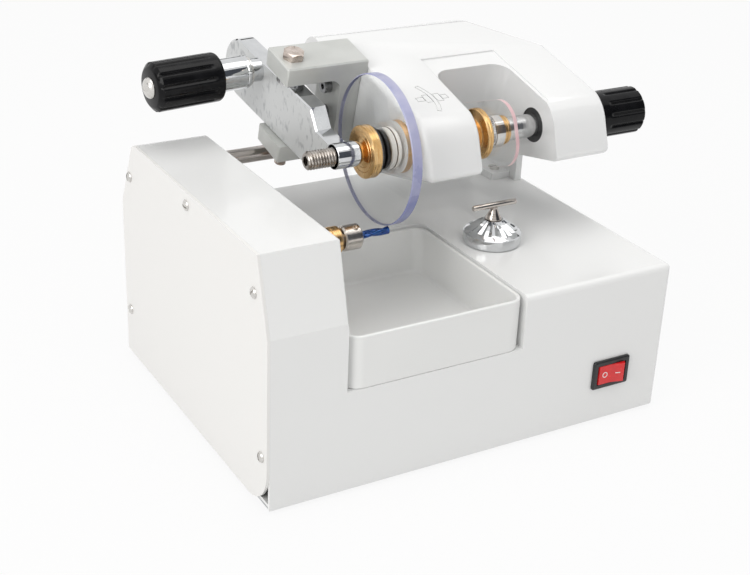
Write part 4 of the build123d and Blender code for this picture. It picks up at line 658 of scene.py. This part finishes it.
# ---------------------------------------------------------------------------
# Clamp bracket: milled fork in satin aluminium, screwed to the centre arm by
# two socket-headed screws. The lever's hexagon bolt goes down through it.
# ---------------------------------------------------------------------------
bracket_shades = ((0.52, 0.53, 0.51), (0.57, 0.58, 0.56))
bolt_shades = ((0.50, 0.43, 0.38), (0.66, 0.58, 0.53))
bolt_head = (62.3, 66.3)
bolt_flats = 10.0
bolt_radius = 3.0
bolt_end = 0.8            # the bolt's free end, measured up its axis from the lever's pin
bolt_runout = 8.9         # where its thread ends
socket_shades = ((0.30, 0.30, 0.31), (0.42, 0.42, 0.43))

anodised = finish("satin_anodised", bracket_shades, 14.0, (0.4, 0.48), (0.12, 0.004), metal=0.2)
bolt_nickel = finish("bolt_nickel", bolt_shades, 3.0, (0.2, 0.32), (0.3, 0.006), metal=1.0)
socket_steel = finish("socket_steel", socket_shades, 4.0, (0.2, 0.35), (0.2, 0.004), metal=1.0)
bracket = make_piece("clamp_bracket_fork", copied("clamp_bracket"), [anodised], "head", "aluminium",
                     "clamp_bracket")
soften(bracket, 0.3)
coat_nodes(socket_steel, "bracket_screws")
coat_nodes(spindle_steel, "lever_spacer")


def threaded(first, last, radius, pitch, depth, steps=48):
    """A rod about X with a real thread: its outline moves on by one pitch as it turns once."""
    work = bmesh.new()
    start = first - 1.5 * pitch
    crests = math.ceil((last - first) / pitch) + 3
    outline = []
    for k in range(crests):
        foot = start + k * pitch
        outline += [(foot, radius - depth), (foot + 0.4 * pitch, radius), (foot + 0.6 * pitch, radius)]
    points = [work.verts.new((along * mm, 0, high * mm)) for along, high in outline]
    edges = [work.edges.new(pair) for pair in zip(points, points[1:])]
    bmesh.ops.spin(work, geom=points + edges, cent=(0, 0, 0), axis=(1, 0, 0), dvec=(pitch * mm / steps, 0, 0),
                   angle=2 * math.pi, steps=steps, use_merge=False)
    bmesh.ops.remove_doubles(work, verts=work.verts, dist=1e-6)
    for place, side in ((first, -1), (last, 1)):
        bmesh.ops.bisect_plane(
            work, geom=work.verts[:] + work.edges[:] + work.faces[:], plane_co=(place * mm, 0, 0),
            plane_no=(side, 0, 0), clear_outer=True)
    bmesh.ops.holes_fill(work, edges=[edge for edge in work.edges if edge.is_boundary], sides=0)
    bmesh.ops.recalc_face_normals(work, faces=work.faces)
    return work


lever_pin = next(joint for joint in frame["joints"] if joint["name"] == "lever_swing")
bolt_matrix = lie(lever_pin["pos_m"], head_up, (1, 0, 0))
low, high = bolt_head
hexagon = turned([(low, 0), (low, bolt_flats / math.sqrt(3)), (high, bolt_flats / math.sqrt(3)), (high, 0)], 6)
crown = turned([(low - 1, 0), (low - 1, 4.6), (low + 0.35, 5.55), (high - 0.9, 5.8), (high, 4.55), (high, 0)], 96)
head_shape = cut(hexagon, crown, "INTERSECT")
shank = turned([(bolt_runout - 0.5, 0), (bolt_runout - 0.5, bolt_radius), (low, bolt_radius), (low, 0)])
bolt_thread = threaded(bolt_end, bolt_runout, bolt_radius, 1.0, 0.5)
bolt = moved(merge(head_shape, shank, bolt_thread), bolt_matrix)
make_piece("lever_bolt_hexagon", bolt, [bolt_nickel], "head", "nickel", "lever_bolt")

# ---------------------------------------------------------------------------
# Clamp lever: a plated flat bar on edge. Its left face is dull and pitted from
# the casting, its edges and the step to the neck are polished bright.
# ---------------------------------------------------------------------------
lever_shades = ((0.40, 0.41, 0.42), (0.62, 0.63, 0.63))
pit_size = 2.6

pitted = finish("pitted_plate", lever_shades, pit_size, (0.3, 0.42), (0.9, 0.03), metal=0.35, run=(1, 1, 0.5),
                stops=(0.30, 0.46))
lever_work = copied("clamp_lever")
clamp_pin = next(joint for joint in frame["joints"] if joint["name"] == "clamp_knob_turn")
clamp_along = Vector(clamp_pin["axis"]).normalized()
for face in lever_work.faces:
    face.normal_update()
    face.material_index = 1 if abs(face.normal.dot(clamp_along)) > 0.9 else 0
lens_low, lens_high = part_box("lens_blank")
lens_axis = lie(Vector((0, *((lens_low + lens_high) / 2).yz)), (1, 0, 0))
screw_boss = turned(((-42.5, 4.2), (-42.5, 6.0), (-42.2, 6.3), (-30.9, 6.3), (-30.6, 6.0), (-30.6, 4.2)), 72, closed=True)
merge(lever_work, moved(screw_boss, lens_axis))
lever = make_piece("clamp_lever_bar", lever_work, [chrome, pitted], "lever", "chrome", "clamp_lever")
soften(lever, 0.35)

# ---------------------------------------------------------------------------
# Pad: a coarse grub screw in the lever's boss, and on its pin a turned brass
# pad on a waisted neck, faced with a serrated grey rubber disc.
# ---------------------------------------------------------------------------
pad_screw_ends = (-57.0, -29.6)
pad_screw_radius = 4.6
pad_pitch = 1.5
rubber_shades = ((0.20, 0.20, 0.205), (0.27, 0.27, 0.275))
dark_nickel_shades = ((0.33, 0.30, 0.27), (0.48, 0.45, 0.42))

dark_nickel = finish("dark_nickel", dark_nickel_shades, 3.0, (0.2, 0.32), (0.3, 0.004), metal=1.0)
grub_left, grub_right = pad_screw_ends
pad_thread = threaded(grub_left, grub_right, pad_screw_radius, pad_pitch, 0.75)
for vert in pad_thread.verts:
    radius = math.hypot(vert.co.y, vert.co.z)
    lead = (3.7 + (vert.co.x / mm - grub_left)) * mm
    if radius > lead:
        vert.co.y *= lead / radius
        vert.co.z *= lead / radius
socket = turned([(grub_left - 1, 0), (grub_left - 1, 2.6), (grub_left + 5, 2.6), (grub_left + 5, 0)], 6)
pad_pin = turned([(grub_right - 0.2, 0), (grub_right - 0.2, 2.5), (grub_right + 4.6, 2.5), (grub_right + 5, 2.1),
                  (grub_right + 5, 0)], 40)
make_piece("pad_screw_thread", moved(merge(cut(pad_thread, socket), pad_pin), lens_axis), [dark_nickel], "lever",
           "nickel", "pad_screw")

pad = turned([(-29.5, 2.6), (-29.5, 5.5), (-29.35, 5.7), (-29.15, 5.6), (-28.8, 4.6), (-28.4, 4.0), (-28.0, 3.9),
              (-27.6, 4.2), (-27.2, 5.1), (-26.9, 6.6), (-26.9, 7.3), (-26.7, 7.5), (-26.9, 7.7), (-26.9, 9.6), (-26.7, 9.8),
              (-26.9, 10.0), (-26.85, 12.6), (-26.75, 12.85), (-26.5, 13.0), (-22.5, 13.0), (-22.25, 12.8),
              (-22.25, 2.6)],
             96, closed=True)
make_piece("swivel_pad_turning", moved(pad, lens_axis), [brass], "pad", "brass", "swivel_pad")

serrated = finish("serrated_rubber", rubber_shades, 2.0, (0.5, 0.7), (0.25, 0.02))
ring_black = finish("ring_black", ((0.012, 0.010, 0.010), (0.022, 0.018, 0.017)), 3.0, (0.4, 0.55), (0.3, 0.01))
facing_disc = turned([(-22.25, 0), (-22.25, 11.7), (-22.1, 12.0), (-21.7, 12.0), (-21.3, 12.0), (-21.15, 11.8),
                      (-20.4, 11.8), (-20.25, 11.6), (-20.25, 0)], 288)
sink_grooves(facing_disc, 72, 0.35, 1.0, -22.2, -21.2, 0.1, 11.0)
for face in facing_disc.faces:
    face.material_index = 1 if face.calc_center_median().x > -21.3 * mm else 0
make_piece("pad_facing_disc", moved(facing_disc, lens_axis), [serrated, ring_black], "pad", "grey_rubber",
           "pad_facing")

# ---------------------------------------------------------------------------
# Clamp screw: a black moulded grip on a threaded stud, closed by a dimpled
# nickel screw, with a bright sleeve and a washer between grip and lever.
# ---------------------------------------------------------------------------
grip_shades = ((0.004, 0.004, 0.0045), (0.008, 0.008, 0.009))
grip_sheen = 0.16
grip_radius = 12.4
grip_grooves = 12
clamp_grip = (-64.9, -28.9)
clamp_band = 4.6

grip_black = finish("grip_black", grip_shades, 6.0, (0.12, 0.2), (0.5, 0.012))
grip_black.node_tree.nodes["Principled BSDF"].inputs["Specular IOR Level"].default_value = grip_sheen


def grip(length, bore, depth, band):
    """Moulded grip from its free end at 0 to its inner end, with long grooves and a smooth inner band."""
    rows = [(2.2 + k * (length - 3.2) / 40, grip_radius) for k in range(41)]
    work = turned([(0, 0), (0, 9.4), (0.15, 9.9), (0.6, 10.6), (1.5, 11.8), (1.8, 12.1)] + rows
                  + [(length - 0.3, grip_radius - 0.3), (length, grip_radius - 1.0), (length, bore),
                     (length - depth, bore), (length - depth, 0)], 240)
    sink_grooves(work, grip_grooves, 0.85, 0.42, 0.9, length - band, 1.6, 9.0)
    return work


clamp_matrix = lie(clamp_pin["pos_m"], clamp_along)
grip_left, grip_right = clamp_grip
clamp_grip_work = moved(grip(grip_right - grip_left, 4.0, 20.0, clamp_band), Matrix.Translation((grip_left * mm, 0, 0)))
make_piece("clamp_knob_grip", moved(clamp_grip_work, clamp_matrix), [grip_black], "clamp_screw", "black_phenolic",
           "clamp_knob")

dome = [(grip_left - 3.2 * math.cos(a), 5.4 * math.sin(a)) for a in (math.radians(24 + 11 * k) for k in range(6))]
dome_head = turned([(grip_left - 2.2, 0), (grip_left - 2.35, 0.8), (grip_left - 2.9, 1.6)] + dome
                   + [(grip_left - 0.2, 5.4), (grip_left, 5.2), (grip_left, 2.5), (grip_left + 8, 2.5),
                      (grip_left + 8, 0)], 72)
make_piece("knob_screw_dome", moved(dome_head, clamp_matrix), [nickel], "clamp_screw", "nickel", "knob_screw")

sleeve = turned([(-28.9, 4.0), (-28.9, 8.0), (-28.5, 8.4), (-14.6, 8.4), (-14.3, 8.1), (-13.9, 8.1), (-13.6, 8.4),
                 (-12.3, 8.4), (-11.9, 8.0), (-11.9, 4.0)], 96, closed=True)
make_piece("knob_sleeve_turning", moved(sleeve, clamp_matrix), [chrome], "clamp_screw", "chrome", "knob_sleeve")
washer = turned([(-11.8, 4.1), (-11.8, 7.2), (-11.5, 7.6), (-10.7, 7.6), (-10.4, 7.2), (-10.4, 4.1)], 72, closed=True)
make_piece("clamp_washer_ring", moved(washer, clamp_matrix), [nickel], "washer", "nickel", "clamp_washer")
stud_tip = turned([(23.8, 0), (23.8, 4.0), (24.4, 4.0), (25.6, 3.6), (26.4, 2.7), (26.67, 1.5), (26.67, 0)])
stud = merge(threaded(-48.9, 24.0, 4.0, 1.25, 0.6), stud_tip)
make_piece("clamp_stud_thread", moved(stud, clamp_matrix), [bar_steel], "clamp_screw", "steel", "clamp_stud")

# ---------------------------------------------------------------------------
# Lens blank: an uncut round lens, clear through its polished faces and bluish
# on its fine-ground rim.
# ---------------------------------------------------------------------------
lens_faces = (-20.0, -14.6)
lens_radius = 37.0
rim_shades = ((0.22, 0.24, 0.46), (0.46, 0.46, 0.60))


def clear(name, colour, roughness):
    """Clear plastic: it carries light through, with a faint colour of its own."""
    material = bpy.data.materials.new(name)
    material.use_nodes = True
    shader = material.node_tree.nodes["Principled BSDF"]
    shader.inputs["Base Color"].default_value = (*colour, 1)
    shader.inputs["Transmission Weight"].default_value = 1
    shader.inputs["IOR"].default_value = 1.5
    shader.inputs["Roughness"].default_value = roughness
    return material


lens_clear = clear("lens_clear", (0.985, 0.992, 0.99), 0.0)
rim_ground = finish("rim_ground", rim_shades, 26.0, (0.18, 0.4), (0.6, 0.01))
lens_left, lens_right = lens_faces
blank = turned([(lens_left, 0), (lens_left, 12.0), (lens_left, 24.0), (lens_left, lens_radius - 0.5),
                (lens_left + 0.5, lens_radius), (lens_right - 0.5, lens_radius), (lens_right, lens_radius - 0.5),
                (lens_right, 24.0), (lens_right, 10.0), (lens_right, 0)], 192)
for face in blank.faces:
    spot = face.calc_center_median()
    on_rim = math.hypot(spot.y, spot.z) > (lens_radius - 0.4) * mm
    face.material_index = 1 if on_rim else 0
make_piece("lens_blank_disc", moved(blank, lens_axis), [lens_clear, rim_ground], "lens_train", "clear_lens",
           "lens_blank")

# ---------------------------------------------------------------------------
# Chuck: a black suction cup behind the lens, in a white moulded holder with a
# thin dark ring, on the end of the steel shaft.
# ---------------------------------------------------------------------------
holder_shades = ((0.78, 0.78, 0.76), (0.84, 0.84, 0.82))

holder_white = finish("holder_white", holder_shades, 6.0, (0.3, 0.4), (0.4, 0.006))
cup = turned([(-14.6, 0), (-14.6, 9.9), (-14.3, 10.0), (-13.6, 9.7), (-12.6, 9.6), (-12.1, 9.2), (-12.1, 0)], 96)
make_piece("chuck_cup_rubber", moved(cup, lens_axis), [ring_black], "lens_train", "black_plastic", "chuck_cup")
holder = turned([(-12.1, 0), (-12.1, 9.9), (-11.7, 10.4), (-9.6, 10.4), (-9.5, 9.9), (-9.1, 9.9), (-9.0, 10.4),
                 (-7.3, 10.4), (-6.5, 9.6), (-6.5, 6.0), (-9.5, 6.0), (-9.5, 0)], 96)
for face in holder.faces:
    spot = face.calc_center_median()
    in_groove = -9.62 * mm < spot.x < -8.98 * mm and math.hypot(spot.y, spot.z) > 9.5 * mm
    face.material_index = 1 if in_groove else 0
make_piece("chuck_holder_moulding", moved(holder, lens_axis), [holder_white, ring_black], "lens_train",
           "white_plastic", "chuck_holder")

# ---------------------------------------------------------------------------
# Shaft and turning knob: a ground steel shaft through both arms, and a black
# moulded grip on its right-hand end.
# ---------------------------------------------------------------------------
shaft_radius = 6.0
shaft_ends = (-9.5, 122.5)
turning_grip = (139.5, 31.0)
turning_band = 7.0

shaft_left, shaft_right = shaft_ends
shaft = turned([(shaft_left, 0), (shaft_left, shaft_radius - 0.4), (shaft_left + 0.4, shaft_radius),
                (shaft_right - 0.4, shaft_radius), (shaft_right, shaft_radius - 0.4), (shaft_right, 0)], 96)
make_piece("lens_shaft_bar", moved(shaft, lens_axis), [spindle_steel], "lens_train", "steel", "lens_shaft")
grip_end, grip_length = turning_grip
about = Matrix.Translation((grip_end * mm, 0, 0)) @ Matrix.Rotation(math.pi, 4, "Z")
make_piece("turning_knob_grip", moved(grip(grip_length, shaft_radius, 14.0, turning_band), lens_axis @ about),
           [grip_black], "lens_train", "black_phenolic", "turning_knob")

# ---------------------------------------------------------------------------
# Pattern: a clear plate cut to the shape that is to be copied, held between a
# brass disc and a knurled chrome nut with a brass ring.
# ---------------------------------------------------------------------------
pattern_rim_shades = ((0.60, 0.38, 0.40), (0.74, 0.55, 0.56))
nut_knurls = 48

disc = turned([(34.0, 6.0), (34.0, 7.7), (34.3, 8.0), (37.4, 8.0), (37.7, 8.3), (38.0, 9.0), (38.0, 12.4),
               (38.4, 12.9), (39.5, 13.0), (39.7, 12.8), (39.9, 13.0), (41.0, 13.0), (41.5, 12.5), (41.5, 6.0)],
              96, closed=True)
make_piece("pattern_disc_turning", moved(disc, lens_axis), [brass], "lens_train", "brass", "pattern_disc")

pattern_clear = clear("pattern_clear", (0.97, 0.975, 0.97), 0.0)
pattern_rim = finish("pattern_rim", pattern_rim_shades, 12.0, (0.3, 0.4), (0.5, 0.01))
plate = copied("pattern_lens")
pattern_middle = (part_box("pattern_lens")[0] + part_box("pattern_lens")[1]) / 2
for face in plate.faces:
    face.normal_update()
    spot = face.calc_center_median() - pattern_middle
    outside = math.hypot(spot.y, spot.z) > 8 * mm and abs(face.normal.x) < 0.5
    face.material_index = 1 if outside else 0
make_piece("pattern_plate", plate, [pattern_clear, pattern_rim], "lens_train", "clear_lens", "pattern_lens")

nut = turned([(43.5, 6.0), (43.5, 7.9), (44.0, 8.4)] + [(44.4 + k * 0.8, 8.4) for k in range(4)]
             + [(47.0, 8.1), (47.4, 8.1), (47.6, 8.4), (52.5, 8.4), (53.1, 7.8), (53.1, 6.0)], 240, closed=True)
sink_grooves(nut, nut_knurls, 0.3, 1.0, 44.2, 47.0, 0.2, 7.0)
make_piece("pattern_nut_turning", moved(nut, lens_axis), [chrome], "lens_train", "chrome", "pattern_nut")
ring = turned([(53.1, 6.0), (53.1, 7.4), (54.3, 7.4), (54.5, 7.15), (54.9, 7.15), (55.1, 7.4), (56.3, 7.4),
               (56.7, 7.0), (56.7, 6.0)], 96, closed=True)
make_piece("nut_ring_turning", moved(ring, lens_axis), [brass], "lens_train", "brass", "nut_ring")

# ---------------------------------------------------------------------------
# Guide mark on the centre arm: a plain line drawing of a lens held between two
# pads, printed in dark grey.
# ---------------------------------------------------------------------------
mark_place = (15.0, -57.0)
line_width = 0.5
line_height = 0.12
ink = finish("guide_ink", ((0.09, 0.09, 0.09), (0.13, 0.13, 0.13)), 3.0, (0.5, 0.6), (0.3, 0.002))


def drawn(work):
    """Keeps only the outline of each flat shape, as a printed line just proud of the surface."""
    for face in work.faces[:]:
        bmesh.ops.inset_region(
            work, faces=[face], thickness=line_width * mm, use_boundary=True, use_even_offset=True)
        bmesh.ops.delete(work, geom=[face], context="FACES")
    raised = bmesh.ops.extrude_face_region(work, geom=work.faces[:])
    bmesh.ops.translate(
        work, vec=(0, 0, line_height * mm), verts=[part for part in raised["geom"] if isinstance(part, bmesh.types.BMVert)])
    bmesh.ops.recalc_face_normals(work, faces=work.faces)
    return work


def sheet_shape(corners):
    """One flat face from its corners, in millimetres."""
    work = bmesh.new()
    work.faces.new([work.verts.new((x * mm, y * mm, 0)) for x, y in corners])
    return work


def arc_band(radius, thickness, span):
    """Flat curved band about a centre on its left, open towards local -X."""
    turns = [math.radians(span * (k / 16 - 0.5)) for k in range(17)]
    outer = [((radius + thickness) * math.cos(a) - radius, (radius + thickness) * math.sin(a)) for a in turns]
    inner = [(radius * math.cos(a) - radius, radius * math.sin(a)) for a in reversed(turns)]
    return sheet_shape(outer + inner)


drawing = merge(
    drawn(arc_band(24.0, 2.2, 56)),
    drawn(sheet_shape(((-3.6, -3.4), (-0.4, -3.4), (-0.4, 3.4), (-3.6, 3.4)))),
    drawn(sheet_shape(((-8.0, -1.7), (-3.9, -1.7), (-3.9, 1.7), (-8.0, 1.7)))),
    drawn(sheet_shape(((2.6, -3.4), (5.8, -3.4), (5.8, 3.4), (2.6, 3.4)))),
    drawn(sheet_shape(((6.1, -1.7), (9.4, -1.7), (9.4, 1.7), (6.1, 1.7)))))
mark_x, mark_back = mark_place
mark_matrix = Matrix((Vector((1, 0, 0)), head_back, head_up)).transposed().to_4x4()
mark_matrix.translation = head_origin + (Vector((mark_x, 0, 0)) + mark_back * head_back + head_top * head_up) * mm
make_piece("guide_mark", moved(drawing, mark_matrix), [ink], "head", "white_casting")
